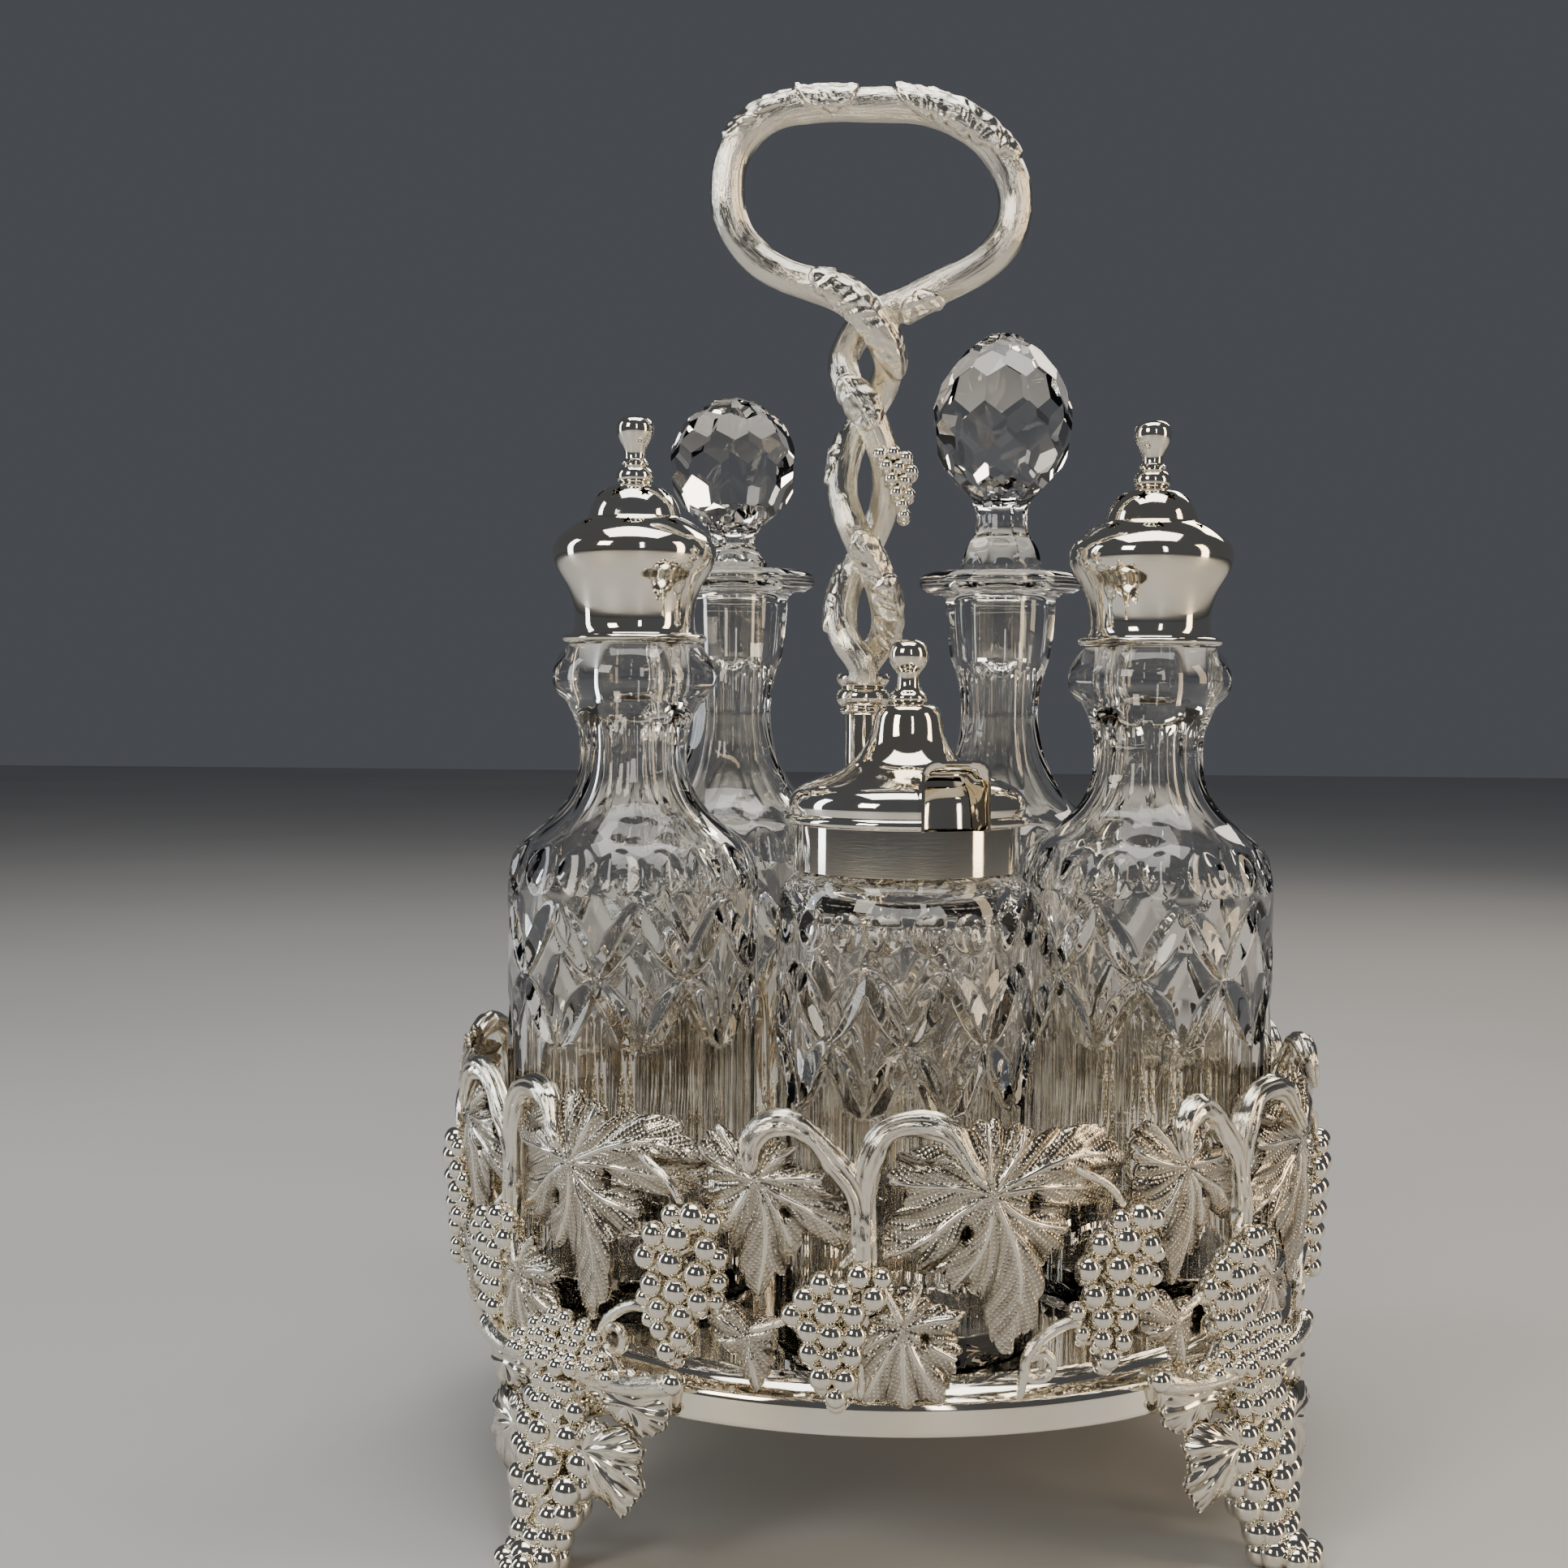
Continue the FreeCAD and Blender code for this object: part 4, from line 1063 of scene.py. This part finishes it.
def bunch_part(grapes, angle, half_width):
    """A bunch that bulges outwards, with a second layer of grapes behind it."""
    centres, radii = [], []
    heights = [g[1] for g in grapes]
    low, high = min(heights), max(heights)
    for across, z, radius in grapes:
        level = (z - low) / (high - low)
        wide = half_width * (0.45 + 0.65 * level)
        bulge = math.sqrt(max(0.0, 1 - (across / (wide + 1.6)) ** 2))
        out = 80.5 + 2.3 * bulge * (0.6 + 0.4 * level)
        centres.append(ring_point(angle + math.degrees(across / 81.5), z, out))
        radii.append(radius * BUNCH_SWELL)
        centres.append(ring_point(angle + math.degrees(across / 81.5) * 0.86, z - 1.6, out - 1.9))
        radii.append(radius * 1.1)
    return balls(centres, radii)


def spiral():
    """The curling tendril beside a bunch of grapes."""
    stalk = [(25.6, 45.4), (23.6, 45.4), (21.4, 44.2), (19.6, 42.2), (18.6, 39.8)]
    coil = []
    for k in range(1, 11):
        turn = math.pi + k * 0.6
        reach = 2.9 - 0.15 * k
        coil.append((20.4 + math.degrees(reach * math.cos(turn) / 80.2), 39.4 + reach * math.sin(turn)))
    return branch(on_gallery([(a, z, 80.6) for a, z in stalk + coil]), (1.0, 0.9, 0.75), 18, 0.05, 5, 0.25)


def round_tray(first, angles):
    """The piece at each angle round the tray, every turn written into a mesh of its own."""
    pieces, turned = [], 0.0
    for k, degrees in enumerate(angles):
        piece = first
        if k:
            piece = bpy.data.objects.new("%s_%d" % (first.name, k + 1), pieces[-1].data.copy())
            bpy.context.scene.collection.objects.link(piece)
        piece.data.transform(Matrix.Rotation(math.radians(degrees - turned), 4, "Z"))
        turned = degrees
        pieces.append(piece)
    return pieces


def gallery():
    vine = [branch(on_gallery(RIGHT_ARCH), (2.1, 1.9, 2.0, 2.05, 1.9, 1.3), 44, 0.5, 1),
            branch(on_gallery(LEFT_ARCH), (1.8, 1.9, 2.0, 1.9, 1.3), 44, 0.5, 2)]
    stems = [[(24.0, 71.0, 80.2), (26.0, 69.4, 81.2), (28.4, 67.4, 81.8), (30.4, 63.6, 81.8)],
             [(-0.2, 60.0, 79.8), (-1.0, 57.6, 80.8), (-2.6, 55.6, 81.6)],
             [(0.1, 55.5, 79.8), (1.8, 53.0, 81.0), (3.4, 49.6, 82.2), (4.3, 47.2, 82.8)],
             [(-0.3, 54.0, 79.6), (-5.0, 49.5, 80.4), (-9.6, 46.0, 81.2), (-12.6, 44.6, 81.8)]]
    for k, stem in enumerate(stems):
        vine.append(branch(on_gallery(stem), (0.9, 0.8, 0.7), 16, 0.06, 20 + k))
    tip = [(19.2, 43.0, 80.4), (18.6, 39.0, 80.6), (18.3, 36.0, 80.4), (18.2, 33.4, 79.8)]
    foot_tip = branch(on_gallery(tip), (0.5, 0.9, 0.5), 16, 0.08, 9)
    leaves = [
        leaf_piece(BIG_LEAF, BIG_VEINS, (14.3, 67.3), (440, 70), 80.6, 1,
                   [(7.2, -2.0, 0.9), (-3.9, -6.4, 0.8)]),
        leaf_piece(MEDIUM_LEAF, MEDIUM_VEINS, (-12.0, 68.8), (340, 54), 80.3, 2, [(4.6, -4.9, 0.6)]),
        leaf_piece(SMALL_LEAF, SMALL_VEINS, (4.5, 46.2), (260, 40), 81.0, 3, [(3.4, -1.8, 0.6)],
                   2.0, 1.5),
        leaf_piece(CURLED_LEAF, CURLED_VEINS, (-13.0, 43.4), (200, 32), 80.8, 4, [], 2.0, 1.2, 1.4)]
    bunches = [bunch_part(BUNCH_A, 30.0, 7.6), bunch_part(BUNCH_B, -3.2, 7.8)]
    pieces = {
        "gallery_vine": join_parts("vine", vine, CAST),
        "gallery_leaves": join_parts("vine_leaves", leaves, CAST_LEAF),
        "gallery_grapes": join_parts("grapes", bunches, CAST_FRUIT),
        "gallery_tendrils": join_parts("tendril", [spiral(), foot_tip], CAST)}
    for node_name, first in pieces.items():
        for piece in round_tray(first, [FIRST_POST + PITCH * k for k in range(PANELS)]):
            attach(piece, "root")
            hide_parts(node_name)


# ---------------------------------------------------------------- feet
FOOT_LEAF = [(-7.5, -1.5), (-6.5, 1.2), (-2.4, 3.4), (0.6, 5.0), (4.4, 4.4), (7.0, 5.2), (10.5, 1.8),
             (9.2, -1.6), (10.2, -5.4), (8.4, -7.6), (6.4, -10.6), (3.2, -9.2), (0.4, -8.8),
             (-2.8, -7.4), (-5.4, -4.8)]
FOOT_VEINS = [[(4.0, -3.2), (8.0, -8.6)], [(4.6, 1.4), (10.0, 1.2)], [(-2.0, -3.2), (-4.6, -5.2)],
              [(1.2, -4.0), (2.0, -8.6)], [(-3.4, 0.2), (-7.0, -0.6)], [(6.0, -1.6), (9.6, -4.4)],
              [(0.6, 2.4), (1.4, 4.6)]]
FOOT_LOBE = [(-6.4, 1.4), (-2.6, 3.2), (2.0, 2.8), (6.4, 3.4), (7.2, -0.4), (6.0, -3.6), (2.6, -5.4),
             (-1.6, -4.6), (-5.4, -3.0)]
FOOT_LOBE_VEINS = [[(3.0, -0.4), (6.8, -0.8)], [(-3.0, 0.0), (-6.0, -0.4)], [(1.4, -2.4), (2.4, -5.0)],
                   [(-1.4, -2.2), (-2.4, -4.4)]]

# Grapes in the middle of the plate: across, height, size.
PLATE_FRUIT = [(-4.6, 33.6, 1.6), (-1.4, 34.4, 1.5), (1.8, 33.8, 1.7), (5.0, 34.2, 1.5), (-8.0, 34.4, 1.4),
               (8.4, 34.6, 1.4), (0.2, 31.0, 1.75), (-0.3, 27.6, 1.85), (-0.6, 24.4, 1.6),
               (2.6, 30.6, 1.2), (-2.9, 30.8, 1.2), (2.4, 27.4, 1.1), (-2.8, 26.6, 1.1),
               (1.9, 24.4, 1.1), (0.4, 21.8, 1.3)]
# The heap over the middle of the plate: height, half width, grapes, radius from the tray's middle.
HEAP = [(35.0, 11.5, 10, 83.9), (37.2, 9.6, 8, 83.2), (39.2, 7.2, 6, 82.2), (40.6, 3.8, 3, 81.2)]
# Rings of seven grapes down the foot: height, middle's radius, half width, half depth, grape size.
COLUMN = [(30.2, 83.0, 6.4, 3.8, 1.9), (26.6, 83.3, 7.6, 4.2, 2.1), (22.6, 83.8, 8.6, 4.8, 2.35),
          (18.4, 84.2, 9.0, 5.2, 2.6), (14.2, 84.7, 8.7, 5.3, 2.7), (10.0, 85.2, 7.9, 5.2, 2.65),
          (6.0, 86.6, 6.0, 4.6, 2.5)]
COLUMN_GRAPES = 7
# The toe on the table: across, height, radius from the tray's middle, size.
TOE = [(0.3, 3.0, 90.6, 3.0), (-3.0, 2.7, 89.2, 2.7), (3.2, 2.7, 89.1, 2.7), (-3.4, 2.4, 86.6, 2.4),
       (3.4, 2.4, 86.6, 2.4), (0, 2.4, 86.4, 2.7), (2.1, 2.3, 92.9, 2.3), (-2.0, 2.3, 92.7, 2.3),
       (0.1, 1.9, 94.0, 1.9)]


def mirrored(points):
    return [(-x, z) for x, z in points][::-1]


def mirrored_veins(veins):
    return [[(-x, z) for x, z in vein] for vein in veins]


def foot_point(across, z, radius):
    """A point of a foot that stands along +X; across is measured round the band."""
    return ring_point(math.degrees(across / 82.0), z, radius)


def foot_fruit():
    """All grapes of a foot as one part, flattened where they meet the table."""
    dice = np.random.default_rng(11)
    centres, radii = [], []

    def grape(across, z, radius, size):
        centres.append(foot_point(across, z, radius))
        radii.append(size)

    grape(23.4, 34.4, 82.4, 2.0)
    grape(-23.4, 34.4, 82.4, 2.0)
    for z, half, count, radius in HEAP:
        for y in np.linspace(-half, half, count):
            grape(y + dice.uniform(-0.3, 0.3), z + dice.uniform(-0.35, 0.35) - 0.01 * y * y,
                  radius + dice.uniform(-0.2, 0.3), dice.uniform(1.35, 1.65))
    for y, z, size in PLATE_FRUIT:
        grape(y, z, 85.2, size)
    for k, (z, middle, wide, deep, big) in enumerate(COLUMN):
        for j in range(COLUMN_GRAPES):
            turn = 2 * math.pi * (j + 0.5 * (k % 2)) / COLUMN_GRAPES + dice.uniform(-0.15, 0.15)
            grape((wide - 2.1) * math.sin(turn), z + dice.uniform(-0.5, 0.5),
                  middle + (deep - 2.1) * math.cos(turn), big * dice.uniform(0.88, 1.06))
    for y, z, r, size in TOE:
        grape(y, z, r, size)
    fruit = list(balls(centres, radii, 20))
    fruit[0][:, 2] = np.maximum(fruit[0][:, 2], 0.0)
    return fruit


def foot_leaves():
    """A leaf and a smaller lobe on each side of a foot."""
    made = []
    for hand, seed in ((1, 5), (-1, 6)):
        shapes = [FOOT_LEAF, FOOT_LOBE]
        veins = [FOOT_VEINS, FOOT_LOBE_VEINS]
        if hand < 0:
            shapes = [mirrored(shape) for shape in shapes]
            veins = [mirrored_veins(lines) for lines in veins]
        made.append(leaf_piece(shapes[0], veins[0], (hand * 5.9, 21.4), (240, 36), 84.0, seed, (),
                               1.7, 1.9, 1.6))
        made.append(leaf_piece(shapes[1], veins[1], (hand * 10.8, 29.6), (160, 26), 82.2, seed + 2, (),
                               1.9, 1.3, 1.2))
    return made


def foot_branches():
    line = [(-23.4, 34.4, 82.4), (-19, 33.3, 82.8), (-13, 32.7, 83.2), (-7, 33.2, 83.6), (0, 33.8, 83.6),
            (7, 33.2, 83.6), (13, 32.7, 83.2), (19, 33.3, 82.8), (23.4, 34.4, 82.4)]
    bar = branch([foot_point(*p) for p in line], (1.9, 1.6, 1.5, 1.5, 1.6, 1.9), 28, 0.2, 3)
    core = branch([(82.6, 0, 32), (83.6, 0, 24), (84.6, 0, 14), (85.9, 0, 5), (86.4, 0, 1.2)],
                  (3.0, 3.0, 3.0, 2.6, 2.4), 24, 0.1, 4, 0.8)
    return bar, core


def backing():
    """The plate that holds a foot to the band, with a wavy outline."""
    across = np.linspace(-22.5, 22.5, 91)
    up = np.linspace(0, 1, 15)
    middle = 1 - smoothstep(7, 13, np.abs(across))
    top = 34.6 + 4.2 * middle + 0.35 * np.sin(1.9 * across)
    low = 28.0 + 0.0030 * across ** 2 - 3.0 * (1 - smoothstep(5, 16, np.abs(across)))
    points = []
    for radius in (80.1, 81.8):
        for share in up:
            for y, a, b in zip(across, low, top):
                bulge = 1.0 * math.sin(math.pi * share) if radius > 81 else 0.0
                points.append(foot_point(y, a + (b - a) * share, radius + bulge))
    return np.array(points), sheet_faces(len(up), len(across), turned=True)


def feet():
    firsts = [join_parts("foot_branch", [*foot_branches(), backing()], CAST),
              join_parts("foot_grapes", [foot_fruit()], CAST_FRUIT),
              join_parts("foot_leaves", foot_leaves(), CAST_CHASED)]
    for first in firsts:
        for corner, piece in zip(FEET, round_tray(first, FEET.values())):
            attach(piece, "root")
            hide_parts("foot_" + corner)


# ---------------------------------------------------------------- handle
# Leaves that wrap the handle: a point near the middle, the way they face, length, width round
# the branch in radians, thickness.
WRAPS = [((-4.6, -3.6, 217.0), (0.1, -1, 0.5), 25.0, 1.75, 0.95),
         ((-12.3, 0, 257.6), (0, -0.5, 1), 12.0, 1.9, 0.7),
         ((-24.0, 0, 255.2), (-0.6, -0.5, 1), 15.0, 1.2, 0.45),
         ((12.5, 0, 254.8), (0.2, -0.6, 1), 26.0, 2.1, 0.9),
         ((5.6, 1.5, 221.6), (0, -0.4, -1), 9.0, 1.3, 0.8),
         ((-5.8, -3.6, 200.2), (-0.2, -1, 0.1), 10.0, 1.6, 0.9),
         ((-8.8, 0, 190.5), (-1, -0.3, 0), 10.0, 0.8, 0.6),
         ((-1.0, -3.0, 171.5), (0.1, -1, 0.2), 11.0, 1.6, 0.85),
         ((-0.6, -1.0, 161.5), (0.5, -1, 0), 14.0, 1.5, 0.75),
         ((-8.6, -1.0, 164.0), (-1, -0.2, 0), 13.0, 0.9, 0.6)]
HANDLE_ROUND = 72        # points round a branch of the handle
# Height of the twisted branches at each number of half turns.
TURNS = [(-0.5, 150.0), (0.0, 160.0), (0.5, 172.7), (1.0, 186.0), (1.5, 199.4), (2.0, 208.5), (2.5, 217.2)]
LOOP = [(-10.2, -2.9, 221.6), (-17.6, -1.4, 224.4), (-25.3, 0, 228.6), (-30.2, 0, 235.0), (-31.3, 0, 242.0),
        (-29.8, 0, 249.2), (-24.8, 0, 254.8), (-17.0, 0, 257.3), (-5.5, 0, 257.7), (6.2, 0, 257.0),
        (15.3, 0, 253.2), (21.5, 0, 246.6), (23.8, 0, 239.6), (22.2, 0, 232.4), (16.8, 0, 226.8),
        (8.6, 1.2, 223.0), (1.2, 2.8, 219.8)]


def twist_point(half_turns, side):
    levels, heights = zip(*TURNS)
    turn = math.pi * half_turns
    return (STEM_X + side * 4.35 * math.cos(turn), -side * 3.6 * math.sin(turn),
            float(np.interp(half_turns, levels, heights)))


HANDLE_FRUIT = [(-1.6, 190.6), (0.9, 190.9), (3.2, 190.0), (-0.4, 188.4), (2.0, 188.2), (4.2, 187.4),
                (0.6, 186.0), (3.0, 185.6), (1.6, 183.4), (3.8, 183.2), (2.6, 181.2), (3.0, 179.2)]


def handle_path():
    """Up one twisted branch, round the loop and down the other."""
    steps = [-0.5 + 0.25 * k for k in range(13)]
    foot = extent("handle_socket")[1][2] - 1.5
    points = [(STEM_X, 3.3, foot)] + [twist_point(t, 1) for t in steps] + LOOP
    points += [twist_point(t, -1) for t in reversed(steps)] + [(STEM_X, -3.3, foot)]
    return spline(points, 0.36)


def wrap_spots(path, along):
    """Each wrap's place along the path and round it, with its sizes."""
    _, sides, ups = frames(path)
    spots = []
    for middle, facing, length, width, thick in WRAPS:
        k = int(np.argmin(np.linalg.norm(path - np.array(middle), axis=1)))
        faces_at = math.atan2(np.dot(facing, ups[k]), np.dot(facing, sides[k]))
        spots.append((along[k], faces_at, length, width, thick))
    return spots


def handle():
    path = handle_path()
    along = distances(path)
    in_loop = smoothstep(66, 84, along) * (1 - smoothstep(along[-1] - 84, along[-1] - 66, along))
    rough = bark(0.13, 4)
    spots = wrap_spots(path, along)

    def skin(s, turn):
        height = rough(s, turn)
        for k, (middle, facing, length, width, thick) in enumerate(spots):
            off = (s - middle) / (length / 2)
            round_by = (turn - facing + math.pi) % (2 * math.pi) - math.pi
            slant = (s - middle) - 2.4 * np.abs(round_by)
            wave = slant + 0.9 * np.sin(0.8 * slant + 2.1 * k) + 0.7 * np.sin(2.3 * round_by + k)
            scallop = 0.20 * np.abs(np.sin(math.pi * wave / 4.6 + k))
            shape = np.sqrt(np.clip(1 - off ** 2, 0, 1)) * (0.84 + scallop)
            inside = smoothstep(0, 0.16, shape - np.abs(round_by) / width)
            lumps = np.sin(1.7 * s + 1.3 * k) * np.sin(2.9 * turn + 0.5 * s + k)
            pleats = (0.20 * np.abs(np.sin(math.pi * wave / 3.3)) + 0.13 * lumps
                      + 0.20 * np.exp(-(round_by / 0.12) ** 2))
            height = height + inside * (thick * 0.7 + pleats)
        return height

    grid, rows, places = sweep(path, 2.9 + 0.35 * in_loop, HANDLE_ROUND, skin)
    part = (grid, capped(rows, HANDLE_ROUND), places, np.full(len(grid), 0.74))
    cluster = [(x, -5.6 - 0.8 * math.cos(x / 3), z) for x, z in HANDLE_FRUIT]
    sizes = [1.45] * 9 + [1.3] * 3
    behind = [(x, y + 2.0, z - 0.6) for x, y, z in cluster]
    pieces = [join_parts("twisted_handle", [part], CAST),
              join_parts("handle_grapes", [balls(cluster + behind, sizes + sizes, 18)], CAST_FRUIT)]
    for piece in pieces:
        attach(piece, "root")
        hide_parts("handle")


# ---------------------------------------------------------------- cast materials
def punched_dots(tree, wear_and_recess_shade, level, last):
    """Rows of punched dots that fade out on the ribs: the new level, with painted shade and oxide darkening
    the gaps between dots, and the bump.
    """
    rows = node(tree, "ShaderNodeUVMap", uv_map="rows")
    cells = node(tree, "ShaderNodeTexVoronoi", in_Scale=1.0, in_Randomness=0.10)
    link(tree, rows, "UV", cells, "Vector")
    # Painted shade, partly oxide: the gaps between the raised dots are darker than the dots.
    dot = ramp(tree, cells.outputs["Distance"], [(0.14, grey(1.0)), (0.40, grey(0.62))])
    bare = ramp(tree, wear_and_recess_shade.outputs["Fac"], [(0.74, grey(0.0)), (0.88, grey(1.0))])
    masked = mixed_by(tree, "MAXIMUM", dot.outputs["Color"], bare.outputs["Color"])
    return mixed_by(tree, "MULTIPLY", level, masked), bump(tree, masked, 1.0, 0.00016, last)


def cast_silver(name, low_rough, high_rough, dots=False, lines=0.0):
    """Cast and chased silver: bright high spots, dark oxide and painted shade in the recesses, punched dots
    on leaves.
    """
    material, tree, shader = new_material(name)
    shader.inputs["Metallic"].default_value = 1.0
    wear_and_recess_shade = node(tree, "ShaderNodeAttribute", attribute_name="wear_and_recess_shade")
    stain = noise(tree, 140, 5, 0.65)
    stain_wear_and_shade = node(tree, "ShaderNodeMath", operation="MULTIPLY_ADD")
    stain_wear_and_shade.inputs[1].default_value = 0.30
    link(tree, stain, "Fac", stain_wear_and_shade, 0)
    link(tree, wear_and_recess_shade, "Fac", stain_wear_and_shade, 2)
    geometry = node(tree, "ShaderNodeNewGeometry")
    # Painted shade with oxide: concave places (low Pointiness) are darkened.
    crest_and_recess_shade = ramp(tree, geometry.outputs["Pointiness"], [(0.42, grey(0.15)), (0.51, grey(1.0))])
    level = mixed_by(tree, "MULTIPLY", stain_wear_and_shade.outputs[0], crest_and_recess_shade.outputs["Color"])
    grain = noise(tree, 650, 4, 0.6)
    last = bump(tree, grain.outputs["Fac"], 0.05, 0.0002)
    if dots:
        level, last = punched_dots(tree, wear_and_recess_shade, level, last)
    if lines:
        rows = node(tree, "ShaderNodeUVMap", uv_map="rows")
        streak = stretched_noise(tree, rows.outputs["UV"], 1.0, 4.0, 0.6, in_Scale=(0.22, 1.7, 1.0))
        last = bump(tree, streak.outputs["Fac"], lines, 0.0005, last)
    # Low levels, from oxide and painted shade in recesses, come out near black; the warm bright end is
    # partly a painted warm reflection.
    shade(tree, level, [(0.14, (0.08, 0.068, 0.052, 1)), (0.42, (0.42, 0.37, 0.29, 1)),
                        (0.80, (0.88, 0.83, 0.72, 1))], shader, "Base Color")
    roughen(tree, stain.outputs["Fac"], low_rough, high_rough, shader, 0.3)
    link(tree, last, "Normal", shader, "Normal")
    return material


CAST = cast_silver("cast_branches", 0.06, 0.16, lines=0.5)
CAST_LEAF = cast_silver("cast_leaves", 0.10, 0.20, dots=True)
CAST_CHASED = cast_silver("cast_chased", 0.10, 0.22)
CAST_FRUIT = cast_silver("cast_fruit", 0.06, 0.14)


def plain_metal(name, tint, low_rough, high_rough):
    """Turned steel with a faint grain."""
    material, tree, shader = new_material(name)
    shader.inputs["Metallic"].default_value = 1.0
    cloud = noise(tree, 300, 4)
    dark = tuple(0.8 * c for c in tint[:3]) + (1,)
    shade(tree, cloud.outputs["Fac"], [(0.35, tint), (0.75, dark)], shader, "Base Color")
    roughen(tree, cloud.outputs["Fac"], low_rough, high_rough, shader)
    return material


def cork_material():
    material, tree, shader = new_material("cork")
    grains = noise(tree, 900, 6, 0.7)
    shade(tree, grains.outputs["Fac"], [(0.35, (0.22, 0.11, 0.05, 1)), (0.65, (0.52, 0.33, 0.18, 1))],
          shader, "Base Color")
    shader.inputs["Roughness"].default_value = 0.9
    link(tree, bump(tree, grains.outputs["Fac"], 0.4, 0.0004), "Normal", shader, "Normal")
    return material


def kept_cad_pieces():
    """Materials for the CAD meshes that stay."""
    corks = cork_material()
    steel = plain_metal("steel", (0.62, 0.61, 0.58, 1), 0.22, 0.4)
    for name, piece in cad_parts.items():
        if piece.hide_render:
            continue
        material = SILVER
        if name.endswith("_cork"):
            material = corks
        if name in ("handle_rod", "base_washer", "base_nut", "mustard_hinge_pin"):
            material = steel
        piece.data.materials.clear()
        piece.data.materials.append(material)


# ---------------------------------------------------------------- stage
def studio():
    scene = bpy.context.scene
    size = 3.0
    mesh = bpy.data.meshes.new("floor")
    corners = [(-size, -size, 0), (size, -size, 0), (size, size, 0), (-size, size, 0)]
    mesh.from_pydata(corners, [], [(0, 1, 2, 3)])
    floor = add_object("floor", mesh)
    material, tree, shader = new_material("floor")
    cloud = noise(tree, 3, 3)
    shade(tree, cloud.outputs["Fac"], [(0.3, grey(0.46)), (0.8, grey(0.52))], shader, "Base Color")
    shader.inputs["Roughness"].default_value = 0.55
    mesh.materials.append(material)

    world = bpy.data.worlds.new("studio")
    scene.world = world
    world.use_nodes = True
    background = world.node_tree.nodes["Background"]
    background.inputs["Color"].default_value = (0.070, 0.074, 0.083, 1)
    background.inputs["Strength"].default_value = 1.0

    def softbox(name, place, target, width, height, watts, colour):
        light = bpy.data.lights.new(name, "AREA")
        light.shape = "RECTANGLE"
        light.size, light.size_y = width, height
        light.energy = watts
        light.color = colour
        lamp = add_object(name, light)
        lamp.location = place
        lamp.rotation_euler = (Vector(target) - Vector(place)).to_track_quat("-Z", "Y").to_euler()

    middle = (0, 0, 0.12)
    softbox("top", (0.0, -0.10, 1.10), middle, 0.90, 0.60, 9, (1.0, 0.98, 0.95))
    softbox("key", (-0.72, -0.90, 0.66), middle, 0.36, 0.46, 5.5, (1.0, 0.93, 0.80))
    softbox("warm_side", (0.95, -0.30, 0.40), middle, 0.22, 0.80, 4.5, (1.0, 0.78, 0.52))
    softbox("cool_side", (-1.0, 0.05, 0.40), middle, 0.20, 0.80, 3.2, (0.86, 0.92, 1.0))
    softbox("front", (0.30, -1.15, 0.50), middle, 0.10, 0.60, 1.5, (1.0, 0.95, 0.88))
    softbox("back", (0.45, 0.80, 0.75), middle, 0.4, 0.3, 3.0, (1.0, 0.90, 0.76))


def camera():
    """The photograph's view: a little above the stoppers, turned so the set stands right of centre."""
    yaw, pitch, roll = -0.0438, 0.0491, 0.0064
    place = Vector((-1.77, -409.1, 147.75)) * MM
    ahead = Vector((math.sin(yaw) * math.cos(pitch), math.cos(yaw) * math.cos(pitch), -math.sin(pitch)))
    right = Vector((math.cos(yaw), -math.sin(yaw), 0))
    up = right.cross(ahead)
    right_rolled = right * math.cos(roll) + up * math.sin(roll)
    up_rolled = up * math.cos(roll) - right * math.sin(roll)
    data = bpy.data.cameras.new("camera")
    data.sensor_width = 36.0
    data.lens = 48.44
    data.clip_start = 0.01
    eye = bpy.data.objects.new("camera", data)
    axes = Matrix((right_rolled, up_rolled, -ahead)).transposed()
    eye.matrix_world = Matrix.Translation(place) @ axes.to_4x4()
    bpy.context.scene.collection.objects.link(eye)
    bpy.context.scene.camera = eye


camera()
studio()
glass_vessels()
glass_stoppers()
tray_metal()
cap_pieces()
stem_pieces()
mustard_metal()
gallery()
feet()
handle()
kept_cad_pieces()
